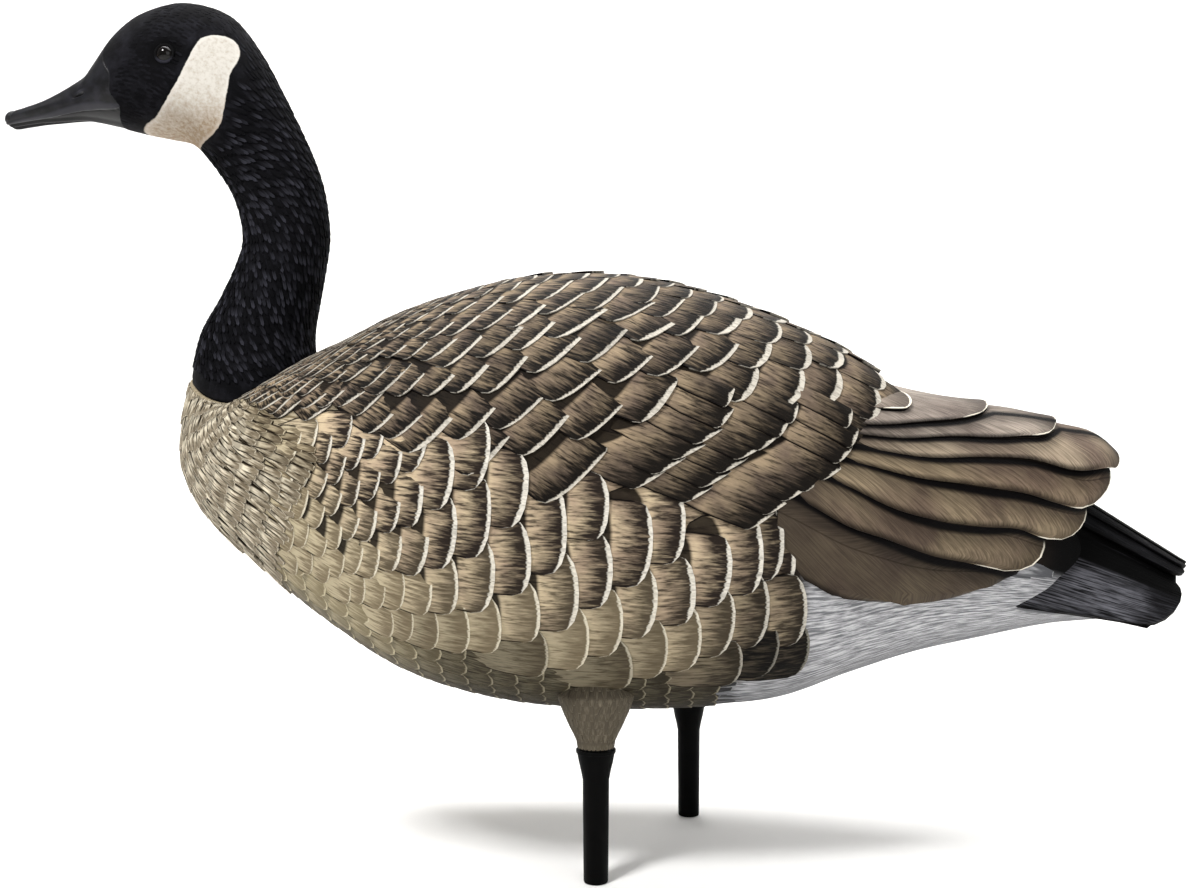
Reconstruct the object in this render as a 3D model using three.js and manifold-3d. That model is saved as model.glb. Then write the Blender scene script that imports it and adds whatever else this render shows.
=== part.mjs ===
// A full-body standing goose decoy: a moulded body with folded wings, tail and
// both thighs, a head and neck that plugs into it, and two leg pegs.
// Millimetres, +Z up. The goose faces -X and its left side faces -Y. The origin
// lies on the ground, midway between the ends of the two pegs.

import * as THREE from 'three';
import { ParametricGeometry } from 'three/addons/geometries/ParametricGeometry.js';
import { mergeVertices } from 'three/addons/utils/BufferGeometryUtils.js';
import Module from 'manifold-3d';

const wasm = await Module();
wasm.setup();

// Body: a free form whose carving is given as shares of these three sizes.
const bodyLength = 597;
const bodyDepth = 252;
const bodyWidth = 246;
const breastX = -274;

// Feather carving on the body.
const featherRise = 2.6;
const flankLedge = 3.2;
const rowEdge = 0.5;
const rowLean = 0.11;
const rowScallop = 0.012;
const featherRows = 16;
const wingFeathers = 7;
const flankFeathers = 5;
const bellySegments = 4;

// Rear bundle of long wing feathers, and the tail fan.
const bundleStrips = 6;
const stripRise = 2.4;
const tailFeathers = 9;
const tailThickness = 7;
const tailFeatherRise = 1.6;
const tailTipBow = 5;
const tailLap = 5;

// Legs: a thigh moulded with the body, and a peg whose spigot sits in it.
const legSpacing = 125;
const legStagger = 59;
const pegLength = 55;
const pegTopRadius = 7.1;
const pegEndRadius = 6.6;
const collarHeight = 16.5;
const collarRadius = 10.2;
const lipHeight = 2;
const lipOverhang = 0.5;
const spigotRadius = 6;
const spigotLength = 18;
const thighFlareRadius = 24;
const thighHeight = 64;
const legSides = 18;
const pegChamfer = 1;
const collarToBelly = 10;
const socketMouth = 5;

// Head and neck: a free form given as shares of its own height and length.
const neckHeight = 224;
const headReach = 185;
const headWidth = 67;
const neckSag = 20;
const billInset = 1.2;
const eyeRadius = 5.2;
const eyeStandOut = 2.4;
const plugRadius = 22;
const plugLength = 26;
const plugLap = 10;
const plugSides = 28;

// Running fits.
const seatGap = 0.5;
const socketClearance = 0.4;
const socketFloorGap = 1;
const seatCutHeight = 30;

const groundToBelly = pegLength + collarHeight + collarToBelly;

// A point of the body's side outline: x as a share of the length from the
// breast, z as a share of the depth from the belly.
function bodyPoint( [ along, up ] ) {

	return new THREE.Vector3( breastX + along * bodyLength, 0, groundToBelly + up * bodyDepth );

}

// A smooth outline through evenly timed points.
function smoothLine( points ) {

	return new THREE.CatmullRomCurve3( points, false, 'catmullrom', 0.5 );

}

// A smooth number along a list of evenly spaced values.
function blend( values, share ) {

	const curve = smoothLine( values.map( ( value ) => new THREE.Vector3( value, 0, 0 ) ) );
	return curve.getPoint( THREE.MathUtils.clamp( share, 0, 1 ) ).x;

}

// A closed solid from a parametric surface whose seam and poles coincide.
function solidFrom( geometry ) {

	geometry.deleteAttribute( 'normal' );
	geometry.deleteAttribute( 'uv' );
	const merged = mergeVertices( geometry, 1e-4 );
	const index = merged.index.array;
	const triangles = [];

	for ( let k = 0; k < index.length; k += 3 ) {

		const [ a, b, c ] = [ index[ k ], index[ k + 1 ], index[ k + 2 ] ];

		if ( a !== b && b !== c && c !== a ) triangles.push( a, b, c );

	}

	return new wasm.Manifold( new wasm.Mesh( {
		numProp: 3,
		vertProperties: new Float32Array( merged.attributes.position.array ),
		triVerts: new Uint32Array( triangles )
	} ) );

}

// A named mesh of a finished solid, in its own colour and finish.
function meshOf( solid, name, finish ) {

	const { vertProperties, triVerts } = solid.getMesh();
	const geometry = new THREE.BufferGeometry();
	geometry.setAttribute( 'position', new THREE.BufferAttribute( new Float32Array( vertProperties ), 3 ) );
	geometry.setIndex( new THREE.BufferAttribute( new Uint32Array( triVerts ), 1 ) );
	geometry.computeVertexNormals();
	const mesh = new THREE.Mesh( geometry, new THREE.MeshStandardMaterial( finish ) );
	mesh.name = name;
	return mesh;

}

// One cross-section point of a free form: a rib hangs from its upper to its
// lower outline point, and turn runs from 0 at the upper to PI at the lower.
function ribPoint( upper, lower, halfWidth, widest, squareness, sag, turn, target ) {

	const fullness = 2 / squareness;
	const side = Math.sign( Math.sin( turn ) );
	const across = halfWidth * Math.pow( Math.abs( Math.sin( turn ) ), fullness );
	const reach = Math.pow( Math.abs( Math.cos( turn ) ), fullness );
	const down = Math.cos( turn ) > 0 ? widest * ( 1 - reach ) : widest + ( 1 - widest ) * reach;
	target.lerpVectors( upper, lower, down );
	const drop = sag * Math.pow( across / halfWidth, 2 );
	const rib = new THREE.Vector3().subVectors( lower, upper ).normalize();
	target.x += - rib.z * drop;
	target.z += rib.x * drop;
	target.y = - side * across;
	return target;

}

// Body ribs, from the neck seat round the breast and back to the rump.
const backLine = smoothLine( [
	[ 0.134, 0.797 ], [ 0.146, 0.813 ], [ 0.164, 0.835 ], [ 0.192, 0.866 ],
	[ 0.233, 0.918 ], [ 0.286, 0.962 ], [ 0.350, 0.994 ], [ 0.424, 0.996 ],
	[ 0.502, 0.964 ], [ 0.576, 0.904 ], [ 0.640, 0.836 ], [ 0.699, 0.748 ],
	[ 0.752, 0.660 ], [ 0.812, 0.560 ], [ 0.866, 0.450 ], [ 0.905, 0.350 ]
].map( bodyPoint ) );

const bellyLine = smoothLine( [
	[ 0.012, 0.764 ], [ 0.008, 0.660 ], [ 0.014, 0.545 ], [ 0.041, 0.436 ],
	[ 0.089, 0.337 ], [ 0.154, 0.211 ], [ 0.231, 0.095 ], [ 0.319, 0.032 ],
	[ 0.414, 0.010 ], [ 0.502, 0.012 ], [ 0.581, 0.032 ], [ 0.650, 0.086 ],
	[ 0.714, 0.132 ], [ 0.778, 0.164 ], [ 0.846, 0.195 ], [ 0.900, 0.206 ]
].map( bodyPoint ) );

const ribHalfWidths = [
	0.155, 0.228, 0.302, 0.376, 0.436, 0.478, 0.5, 0.5,
	0.48, 0.445, 0.39, 0.315, 0.25, 0.19, 0.13, 0.08
].map( ( share ) => share * bodyWidth );

const ribCount = ribHalfWidths.length;
const flankEndTurn = 0.84;
const doubleLine = 0.006;

// The flank feathers overlap the folded wing along this line, which drops
// towards the rear as the wing comes out from under them.
function wingLine( share ) {

	return 0.45 + 0.13 * THREE.MathUtils.smoothstep( share, 0.46, 0.68 );

}

function bodyRib( share, turn, target ) {

	const upper = backLine.getPoint( share );
	const lower = bellyLine.getPoint( share );
	const halfWidth = blend( ribHalfWidths, share );
	const sag = neckSag * Math.pow( Math.max( 0, 1 - share * ( ribCount - 1 ) / 3 ), 2 );
	const widest = 0.5 + 0.04 * Math.sin( Math.PI * share );
	return ribPoint( upper, lower, halfWidth, widest, 2.15, sag, turn, target );

}

// The skin's outward direction at a rib point, from two short steps along it.
function bodyOut( share, turn ) {

	const step = 0.004;
	const here = bodyRib( share, turn, new THREE.Vector3() );
	const on = bodyRib( Math.min( 1, share + step ), turn, new THREE.Vector3() );
	const round = bodyRib( share, turn + step, new THREE.Vector3() );
	return round.sub( here ).cross( on.sub( here ) ).normalize();

}

// The lines that run along the body, on one side: two edges for each wing and
// flank feather, a double line where the flank overlaps the wing, then the belly.
// Each line runs at a share of the way across its own zone.
function bodyLines() {

	const lines = [];

	for ( let k = 0; k <= 2 * wingFeathers; k ++ ) {

		lines.push( { zone: 'wing', across: k / ( 2 * wingFeathers ), edge: k % 2, side: 1 } );

	}

	for ( let k = 0; k <= 2 * flankFeathers; k ++ ) {

		lines.push( { zone: 'flank', across: k / ( 2 * flankFeathers ), edge: k % 2, side: 1 } );

	}

	for ( let k = 1; k <= bellySegments; k ++ ) {

		lines.push( { zone: 'belly', across: k / bellySegments, edge: 0, side: 1 } );

	}

	const mirrored = lines.slice( 1, - 1 ).reverse().map( ( line ) => ( { ...line, side: - 1 } ) );
	return [ ...lines, ...mirrored ];

}

// How far round the body a line lies, from 0 at the spine to 1 at the keel.
function lineTurn( line, share ) {

	const wing = wingLine( share );
	const { lerp } = THREE.MathUtils;
	if ( line.zone === 'wing' ) return wing * line.across;
	if ( line.zone === 'flank' ) return lerp( wing + doubleLine, flankEndTurn, line.across );
	return lerp( flankEndTurn, 1, line.across );

}

// The rings across the body: each feather row starts low and ends proud.
function bodyRings() {

	const first = 0.04;
	const last = 0.8;
	const rings = [ { share: 0, rise: 0, row: 0 }, { share: first, rise: 0, row: 0 } ];

	for ( let row = 0; row < featherRows; row ++ ) {

		const start = first + ( last - first ) * Math.pow( row / featherRows, 1.15 );
		const end = first + ( last - first ) * Math.pow( ( row + 1 ) / featherRows, 1.15 );
		const gap = rowEdge / bodyLength;
		if ( row > 0 ) rings.push( { share: start + gap, rise: 0, row } );
		rings.push( { share: end - gap, rise: 1, row } );

	}

	rings.push( { share: last + 0.02, rise: 0, row: featherRows } );
	rings.push( { share: 0.88, rise: 0, row: featherRows } );
	rings.push( { share: 0.94, rise: 0, row: featherRows } );
	rings.push( { share: 1, rise: 0, row: featherRows } );
	return rings;

}

// The feathered body skin as one closed loft, from the neck seat to the rump. The
// feather tips reach the outline, and each row starts carved in below it.
function bodyCore() {

	const lines = bodyLines();
	const rings = bodyRings();
	const slices = lines.length;
	const stacks = rings.length + 1;

	function skin( u, v, target ) {

		const ringIndex = Math.round( v * stacks ) - 1;

		if ( ringIndex < 0 || ringIndex >= rings.length ) {

			const share = ringIndex < 0 ? 0 : 1;
			target.lerpVectors( backLine.getPoint( share ), bellyLine.getPoint( share ), 0.5 );
			return;

		}

		const line = lines[ Math.round( u * slices ) % slices ];
		const ring = rings[ ringIndex ];
		const fade = Math.sin( Math.PI * Math.min( 1, ring.share / 0.84 ) );
		const lean = line.zone === 'wing' ? rowLean * fade * ( 1 - line.across ) : 0;
		const tip = ( line.edge + ring.row ) % 2;
		const scallop = line.zone === 'belly' ? 0 : rowScallop * fade * tip * ring.rise;
		const share = THREE.MathUtils.clamp( ring.share + lean + scallop, 0, 1 );
		const turn = line.side * Math.PI * lineTurn( line, share );
		bodyRib( share, turn, target );

		const fullHeight = featherRise * Math.sqrt( Math.max( 0, fade ) );
		const rowHeight = fullHeight * ring.rise * ( 0.55 + 0.45 * tip );
		const behindNeck = THREE.MathUtils.smoothstep( ring.share, 0.15, 0.45 );
		const overlap = flankLedge * fade * behindNeck * Math.max( 0, 1 - line.across * 2.5 );
		let rise = 0;
		if ( line.zone === 'wing' ) rise = rowHeight - fullHeight;
		if ( line.zone === 'flank' ) rise = rowHeight * 0.8 - fullHeight + overlap;
		target.addScaledVector( bodyOut( share, turn ), rise );

	}

	return solidFrom( new ParametricGeometry( skin, slices, stacks ) );

}

// The long feathers of both folded wings, one arched bundle over the rump.
const bundleTop = smoothLine( [
	[ 0.561, 0.820 ], [ 0.640, 0.790 ], [ 0.699, 0.742 ], [ 0.758, 0.709 ],
	[ 0.812, 0.690 ], [ 0.856, 0.664 ], [ 0.892, 0.642 ], [ 0.918, 0.594 ]
].map( bodyPoint ) );

const bundleLow = smoothLine( [
	[ 0.561, 0.345 ], [ 0.622, 0.297 ], [ 0.681, 0.278 ], [ 0.736, 0.289 ],
	[ 0.792, 0.332 ], [ 0.843, 0.387 ], [ 0.881, 0.456 ], [ 0.902, 0.500 ]
].map( bodyPoint ) );

const bundleHalfWidths = [ 0.34, 0.375, 0.355, 0.31, 0.255, 0.195, 0.13, 0.055 ]
	.map( ( share ) => share * bodyWidth );

function wingBundle() {

	const stations = 14;
	const turnLines = [];

	for ( let strip = 0; strip < bundleStrips; strip ++ ) {

		const start = strip / bundleStrips;
		const end = ( strip + 1 ) / bundleStrips;
		turnLines.push( { turn: start + ( strip > 0 ? 0.012 : 0 ), rise: strip === 0 ? 1 : 0 } );
		turnLines.push( { turn: end, rise: 1 } );

	}

	turnLines.push( { turn: 1.25, rise: 0 } );
	turnLines.push( { turn: 1.6, rise: 0 } );
	const mirrored = turnLines.slice( 1 ).reverse().map( ( line ) => ( { ...line, mirrored: true } ) );
	const lines = [ ...turnLines, ...mirrored ];
	const slices = lines.length;
	const stacks = stations + 2;

	function shell( u, v, target ) {

		const station = Math.round( v * stacks ) - 1;
		const share = THREE.MathUtils.clamp( station / stations, 0, 1 );
		const upper = bundleTop.getPoint( share );
		const lower = bundleLow.getPoint( share );
		const halfWidth = blend( bundleHalfWidths, share );

		if ( station < 0 || station > stations ) {

			target.lerpVectors( upper, lower, 0.5 );
			return;

		}

		const line = lines[ Math.round( u * slices ) % slices ];
		const outer = Math.min( line.turn, 1 );
		const under = Math.max( 0, line.turn - 1 );
		const down = Math.pow( outer, 1.35 ) - under * 0.5;
		const bulge = Math.pow( Math.sin( Math.PI * 0.5 * Math.min( 1, outer * 1.45 ) ), 0.9 );
		const tuck = 1 - 0.16 * Math.pow( outer, 4 ) - under * 1.1;
		target.lerpVectors( upper, lower, down );
		const rise = stripRise * line.rise * Math.sin( Math.PI * Math.min( 1, 0.15 + share * 0.8 ) );
		target.y = - ( halfWidth * bulge * tuck + rise * Math.min( 1, outer * 3 ) );
		target.z += rise * ( 1 - outer );
		if ( line.turn === 0 ) target.y = 0;
		if ( line.mirrored ) target.y = - target.y;

	}

	return solidFrom( new ParametricGeometry( shell, slices, stacks ) );

}

// The closed tail fan, arched so that its outer feathers hang lower. Each
// feather runs from the arched rump to the wider and flatter end of the fan.
const tailCentre = [ [ 0.845, 0.550 ], [ 0.988, 0.330 ] ].map( bodyPoint );
const tailEdge = [ [ 0.800, 0.275 ], [ 0.940, 0.228 ] ].map( bodyPoint );
const tailHalfWidths = [ 0.145, 0.2 ].map( ( share ) => share * bodyWidth );

function tailFan() {

	const stations = 5;
	const underLines = 6;
	const middle = ( tailFeathers - 1 ) / 2;
	const lines = [];

	for ( let feather = 0; feather < tailFeathers; feather ++ ) {

		for ( const [ within, bow ] of [ [ 0.02, 0 ], [ 0.5, 1 ], [ 0.98, 0 ] ] ) {

			const across = 2 * ( feather + within ) / tailFeathers - 1;
			lines.push( { across, bow, layer: Math.abs( feather - middle ), top: true } );

		}

	}

	for ( let k = 0; k <= underLines; k ++ ) {

		lines.push( { across: 1 - 2 * k / underLines, bow: 0, layer: middle, top: false } );

	}

	const slices = lines.length;
	const stacks = stations + 2;

	function fan( u, v, target ) {

		const station = Math.round( v * stacks ) - 1;
		const share = THREE.MathUtils.clamp( station / stations, 0, 1 );
		const line = lines[ Math.round( u * slices ) % slices ];
		const capped = station < 0 || station > stations;
		const across = capped ? 0.5 : line.across;
		const outward = Math.pow( Math.abs( across ), 1.6 );
		const start = new THREE.Vector3().lerpVectors( tailCentre[ 0 ], tailEdge[ 0 ], outward );
		const end = new THREE.Vector3().lerpVectors( tailCentre[ 1 ], tailEdge[ 1 ], outward );
		target.lerpVectors( start, end, share );
		target.y = - across * THREE.MathUtils.lerp( tailHalfWidths[ 0 ], tailHalfWidths[ 1 ], share );

		if ( capped ) {

			target.y = 0;
			return;

		}

		target.x += line.bow * tailTipBow * Math.pow( share, 4 );
		const lap = line.layer > 1.5 ? tailLap * share : 0;
		target.z -= line.top ? lap : tailThickness + lap * across * across;
		if ( line.top ) target.z += tailFeatherRise * line.bow;

	}

	return solidFrom( new ParametricGeometry( fan, slices, stacks ) );

}

// A turned solid about the vertical line through a leg, from radius and height pairs.
function turned( outline, x, y ) {

	const points = outline.map( ( [ radius, height ] ) => new THREE.Vector2( radius, height ) );
	const geometry = new THREE.LatheGeometry( points, legSides );
	geometry.rotateX( Math.PI / 2 );
	geometry.translate( x, y, 0 );
	return solidFrom( geometry );

}

const collarTop = pegLength + collarHeight;
const legPlaces = [
	{ name: 'left_leg', x: - legStagger / 2, y: - legSpacing / 2 },
	{ name: 'right_leg', x: legStagger / 2, y: legSpacing / 2 }
];

// A thigh: a flared stem that runs up into the belly.
function thigh( { x, y } ) {

	const foot = collarTop + seatGap;
	const rings = [ [ 0, 0 ], [ 0.02, 0 ], [ 0.1, 0.08 ], [ 0.32, 0.17 ], [ 0.6, 0.3 ], [ 0.85, 0.45 ], [ 0.95, 1 ] ];
	const outline = rings.map( ( [ flare, up ], k ) => [
		k === 0 ? 0 : THREE.MathUtils.lerp( collarRadius, thighFlareRadius, flare ),
		foot + up * thighHeight
	] );
	outline.push( [ 0, foot + thighHeight ] );
	return turned( outline, x, y );

}

function thighSocket( { x, y } ) {

	const radius = spigotRadius + socketClearance;
	const top = collarTop + spigotLength + socketFloorGap;
	const mouth = collarTop - socketMouth;
	return turned( [ [ 0, mouth ], [ radius, mouth ], [ radius, top ], [ 0, top ] ], x, y );

}

function legPeg( { x, y } ) {

	return turned( [
		[ 0, 0 ],
		[ pegEndRadius - pegChamfer, 0 ],
		[ pegEndRadius, pegChamfer ],
		[ pegTopRadius, pegLength ],
		[ THREE.MathUtils.lerp( pegTopRadius, collarRadius, 0.55 ), pegLength + 0.45 * collarHeight ],
		[ collarRadius, collarTop - lipHeight ],
		[ collarRadius + lipOverhang, collarTop - lipHeight ],
		[ collarRadius + lipOverhang, collarTop ],
		[ spigotRadius, collarTop ],
		[ spigotRadius, collarTop + spigotLength - pegChamfer ],
		[ spigotRadius - pegChamfer, collarTop + spigotLength ],
		[ 0, collarTop + spigotLength ]
	], x, y );

}

// Head and neck ribs, from the neck seat up the neck and out along the bill.
// Shares of the neck's height up, and of the head's reach forward.
const seatMiddle = new THREE.Vector3().lerpVectors( backLine.getPoint( 0 ), bellyLine.getPoint( 0 ), 0.5 );

function headPoint( [ forward, up ] ) {

	return new THREE.Vector3( seatMiddle.x - forward * headReach, 0, seatMiddle.z + up * neckHeight );

}

const napeLine = smoothLine( [
	backLine.getPoint( 0 ),
	...[
		[ - 0.190, 0.100 ], [ - 0.208, 0.191 ], [ - 0.230, 0.291 ], [ - 0.239, 0.370 ],
		[ - 0.224, 0.475 ], [ - 0.192, 0.559 ], [ - 0.147, 0.643 ], [ - 0.092, 0.737 ],
		[ - 0.025, 0.842 ], [ 0.064, 0.932 ], [ 0.198, 0.966 ], [ 0.322, 0.945 ],
		[ 0.404, 0.900 ], [ 0.455, 0.845 ], [ 0.493, 0.798 ], [ 0.554, 0.761 ],
		[ 0.639, 0.720 ], [ 0.712, 0.697 ], [ 0.763, 0.685 ], [ 0.789, 0.672 ]
	].map( headPoint )
] );

const throatLine = smoothLine( [
	bellyLine.getPoint( 0 ),
	...[
		[ 0.163, 0.100 ], [ 0.102, 0.191 ], [ 0.048, 0.291 ], [ 0.034, 0.359 ],
		[ 0.063, 0.454 ], [ 0.118, 0.527 ], [ 0.159, 0.567 ], [ 0.210, 0.600 ],
		[ 0.283, 0.613 ], [ 0.347, 0.623 ], [ 0.401, 0.634 ], [ 0.449, 0.643 ],
		[ 0.496, 0.651 ], [ 0.541, 0.656 ], [ 0.585, 0.655 ], [ 0.623, 0.653 ],
		[ 0.681, 0.650 ], [ 0.732, 0.644 ], [ 0.770, 0.639 ], [ 0.789, 0.644 ]
	].map( headPoint )
] );

const neckHalfWidths = [
	1.14, 0.99, 0.88, 0.79, 0.745, 0.73, 0.745, 0.805, 0.895, 0.97, 1.0,
	0.955, 0.85, 0.70, 0.55, 0.45, 0.39, 0.36, 0.34, 0.30, 0.15
].map( ( share ) => share * headWidth / 2 );

const neckRings = 31;
const neckSides = 30;
const billStart = 0.597;
const billEdge = 0.004;
const eyeShare = 0.517;
const eyeTurn = 0.448 * Math.PI;
const neckRibs = neckHalfWidths.length;

function neckRib( share, turn, target ) {

	const upper = napeLine.getPoint( share );
	const lower = throatLine.getPoint( share );
	const halfWidth = blend( neckHalfWidths, share );
	const sag = neckSag * Math.pow( Math.max( 0, 1 - share * ( neckRibs - 1 ) / 2.5 ), 2 );
	const onHead = THREE.MathUtils.smoothstep( share, 0.35, 0.5 );
	const widest = 0.5 + 0.08 * onHead;
	return ribPoint( upper, lower, halfWidth, widest, 2.05, sag, turn, target );

}

// Ring stations along the head and neck, with a double ring where the feathered
// face steps down to the bill.
function neckStations() {

	const stations = [];
	for ( let k = 0; k <= neckRings; k ++ ) stations.push( k / neckRings );
	return [ ...stations, billStart, billStart + billEdge ].sort( ( a, b ) => a - b );

}

function headAndNeck() {

	const stations = neckStations();
	const stacks = stations.length + 1;

	function skin( u, v, target ) {

		const ring = Math.round( v * stacks ) - 1;
		const capped = ring < 0 || ring >= stations.length;
		const share = capped ? Math.max( 0, Math.sign( ring ) ) : stations[ ring ];
		const middle = new THREE.Vector3().lerpVectors( napeLine.getPoint( share ), throatLine.getPoint( share ), 0.5 );

		if ( capped ) {

			target.copy( middle );

		} else {

			neckRib( share, 2 * Math.PI * ( 1 - u ), target );
			const inset = share > billStart ? billInset : 0;
			target.lerp( middle, Math.min( 0.3, inset / target.distanceTo( middle ) ) );

		}

		if ( ring <= 0 ) target.z += seatGap;

	}

	return solidFrom( new ParametricGeometry( skin, neckSides, stacks ) );

}

// An eye, a shallow dome in the side of the head.
function eye( side ) {

	const here = neckRib( eyeShare, side * eyeTurn, new THREE.Vector3() );
	const on = neckRib( eyeShare + 0.01, side * eyeTurn, new THREE.Vector3() ).sub( here );
	const round = neckRib( eyeShare, side * ( eyeTurn + 0.02 ), new THREE.Vector3() ).sub( here );
	const out = on.cross( round ).normalize().multiplyScalar( side );
	here.addScaledVector( out, eyeStandOut - eyeRadius );
	const geometry = new THREE.SphereGeometry( eyeRadius, 12, 8 );
	geometry.translate( here.x, here.y, here.z );
	return solidFrom( geometry );

}

function neckPlug( radius, length, lift ) {

	const geometry = new THREE.CylinderGeometry( radius, radius, length + lift, plugSides );
	geometry.rotateX( Math.PI / 2 );
	geometry.translate( seatMiddle.x, 0, seatMiddle.z - length / 2 + lift / 2 );
	return solidFrom( geometry );

}

const plumage = { color: 0x7d6a50, roughness: 0.75, metalness: 0 };
const flocked = { color: 0x18171a, roughness: 0.95, metalness: 0 };
const blackPlastic = { color: 0x0c0c0d, roughness: 0.45, metalness: 0 };

let bodySolid = bodyCore().add( wingBundle() ).add( tailFan() );

for ( const place of legPlaces ) {

	bodySolid = bodySolid.add( thigh( place ) );

}

for ( const place of legPlaces ) {

	bodySolid = bodySolid.subtract( thighSocket( place ) );

}

bodySolid = bodySolid.subtract( neckPlug( plugRadius + socketClearance, plugLength + socketFloorGap, seatCutHeight ) );

const headSolid = headAndNeck()
	.add( eye( - 1 ) )
	.add( eye( 1 ) )
	.add( neckPlug( plugRadius, plugLength, plugLap ) );

const decoy = new THREE.Group();
decoy.add( meshOf( bodySolid, 'body', plumage ) );
decoy.add( meshOf( headSolid, 'head_neck', flocked ) );

for ( const place of legPlaces ) {

	decoy.add( meshOf( legPeg( place ), place.name, blackPlastic ) );

}

export default decoy;
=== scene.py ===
import math

import bmesh
import bpy
import numpy as np
from mathutils import Matrix, Vector


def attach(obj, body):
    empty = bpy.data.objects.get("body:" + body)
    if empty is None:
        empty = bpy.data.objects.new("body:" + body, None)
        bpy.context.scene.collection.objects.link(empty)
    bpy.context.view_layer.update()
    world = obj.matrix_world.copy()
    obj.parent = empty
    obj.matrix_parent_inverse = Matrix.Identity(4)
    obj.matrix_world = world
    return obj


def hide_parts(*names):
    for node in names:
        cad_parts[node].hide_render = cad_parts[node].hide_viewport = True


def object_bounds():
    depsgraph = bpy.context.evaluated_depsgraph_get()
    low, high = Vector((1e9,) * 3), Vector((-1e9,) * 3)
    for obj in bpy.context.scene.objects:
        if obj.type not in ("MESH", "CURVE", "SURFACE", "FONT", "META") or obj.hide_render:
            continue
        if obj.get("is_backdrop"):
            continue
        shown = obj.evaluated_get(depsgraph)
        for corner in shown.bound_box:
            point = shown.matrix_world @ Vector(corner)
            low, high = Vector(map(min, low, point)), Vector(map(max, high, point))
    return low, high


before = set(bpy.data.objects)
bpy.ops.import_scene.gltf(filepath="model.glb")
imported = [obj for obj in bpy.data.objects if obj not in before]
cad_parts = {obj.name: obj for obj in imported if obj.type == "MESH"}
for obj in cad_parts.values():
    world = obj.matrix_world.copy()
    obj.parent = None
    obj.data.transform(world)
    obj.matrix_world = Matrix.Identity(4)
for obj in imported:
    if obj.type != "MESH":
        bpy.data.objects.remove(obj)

solids_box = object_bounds()

# The body: one hollow moulding of painted plastic, from the neck seat round the
# breast to the rump. Its free form is a row of ribs hung between a back outline and
# a belly outline, and every feather on it is laid on that same form.
mm = 0.001
body_length, body_depth, body_width = 597 * mm, 252 * mm, 246 * mm
breast_x, belly_z = -274 * mm, 81.5 * mm
neck_sag = 20 * mm
body_squareness, neck_squareness = 2.15, 2.05  # a rib of squareness 2 is an ellipse
skin_drop = 1.0 * mm  # the bare skin lies this far under the form that the feathers follow


def outline(pairs):
    """Side-outline points from shares of the body's length and depth."""
    return np.array([(breast_x + a * body_length, belly_z + u * body_depth) for a, u in pairs])


def along(points, share):
    """A smooth value through evenly timed points, at any shares."""
    points = np.asarray(points, float)
    if points.ndim == 1:
        points = points[:, None]
    held = np.vstack([2 * points[0] - points[1], points, 2 * points[-1] - points[-2]])
    spans = len(points) - 1
    at = np.clip(share, 0, 1) * spans
    k = np.minimum(at.astype(int), spans - 1)
    t = (at - k)[..., None]
    a, b, c, d = held[k], held[k + 1], held[k + 2], held[k + 3]
    return 0.5 * (2 * b + (c - a) * t + (2 * a - 5 * b + 4 * c - d) * t**2 + (3 * b - a - 3 * c + d) * t**3)


def ease(value, low, high):
    """0 below low, 1 above high and a soft rise between."""
    t = np.clip((value - low) / (high - low), 0, 1)
    return t * t * (3 - 2 * t)


def rib(upper, lower, half_width, widest, squareness, sag, turn):
    """Points round a rib: turn runs from 0 at the top to 1 at the bottom, left side first."""
    angle = turn * math.pi
    full = 2 / squareness
    across = half_width * np.abs(np.sin(angle)) ** full
    reach = np.abs(np.cos(angle)) ** full
    down = np.where(np.cos(angle) > 0, widest * (1 - reach), widest + (1 - widest) * reach)
    middle = upper + (lower - upper) * down[..., None]
    drop = sag * (across / half_width) ** 2
    lean = (lower - upper) / np.linalg.norm(lower - upper, axis=-1, keepdims=True)
    side = -np.sign(np.sin(angle)) * across
    return np.stack([middle[..., 0] - lean[..., 1] * drop, side, middle[..., 1] + lean[..., 0] * drop], -1)


back_line = outline([
    (0.134, 0.797), (0.146, 0.813), (0.164, 0.835), (0.192, 0.866), (0.233, 0.918), (0.286, 0.962),
    (0.350, 0.994), (0.424, 0.996), (0.502, 0.964), (0.576, 0.904), (0.640, 0.836), (0.699, 0.748),
    (0.752, 0.660), (0.812, 0.560), (0.866, 0.450), (0.905, 0.350)])
belly_line = outline([
    (0.012, 0.764), (0.008, 0.660), (0.014, 0.545), (0.041, 0.436), (0.089, 0.337), (0.154, 0.211),
    (0.231, 0.095), (0.319, 0.032), (0.414, 0.010), (0.502, 0.012), (0.581, 0.032), (0.650, 0.086),
    (0.714, 0.132), (0.778, 0.164), (0.846, 0.195), (0.900, 0.206)])
half_widths = body_width * np.array([
    0.155, 0.228, 0.302, 0.376, 0.436, 0.478, 0.5, 0.5, 0.48, 0.445, 0.39, 0.315, 0.25, 0.19, 0.13, 0.08])


def body_form(share, turn):
    """Points of the body's skin: share runs from the neck seat to the rump."""
    share, turn = np.broadcast_arrays(np.asarray(share, float), np.asarray(turn, float))
    sag = neck_sag * np.maximum(0, 1 - share * 5) ** 2
    widest = 0.5 + 0.04 * np.sin(math.pi * np.clip(share, 0, 1))
    half_width = along(half_widths, share)[..., 0]
    return rib(along(back_line, share), along(belly_line, share), half_width, widest,
               body_squareness, sag, turn)


def steps(form, share, turn):
    """How the form runs per unit share and per unit turn, and its outward direction."""
    d = 0.003
    run = (form(share + d, turn) - form(share - d, turn)) / (2 * d)
    fall = (form(share, turn + d) - form(share, turn - d)) / (2 * d)
    out = np.cross(fall, run)
    return run, fall, out / np.maximum(1e-12, np.linalg.norm(out, axis=-1, keepdims=True))


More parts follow.
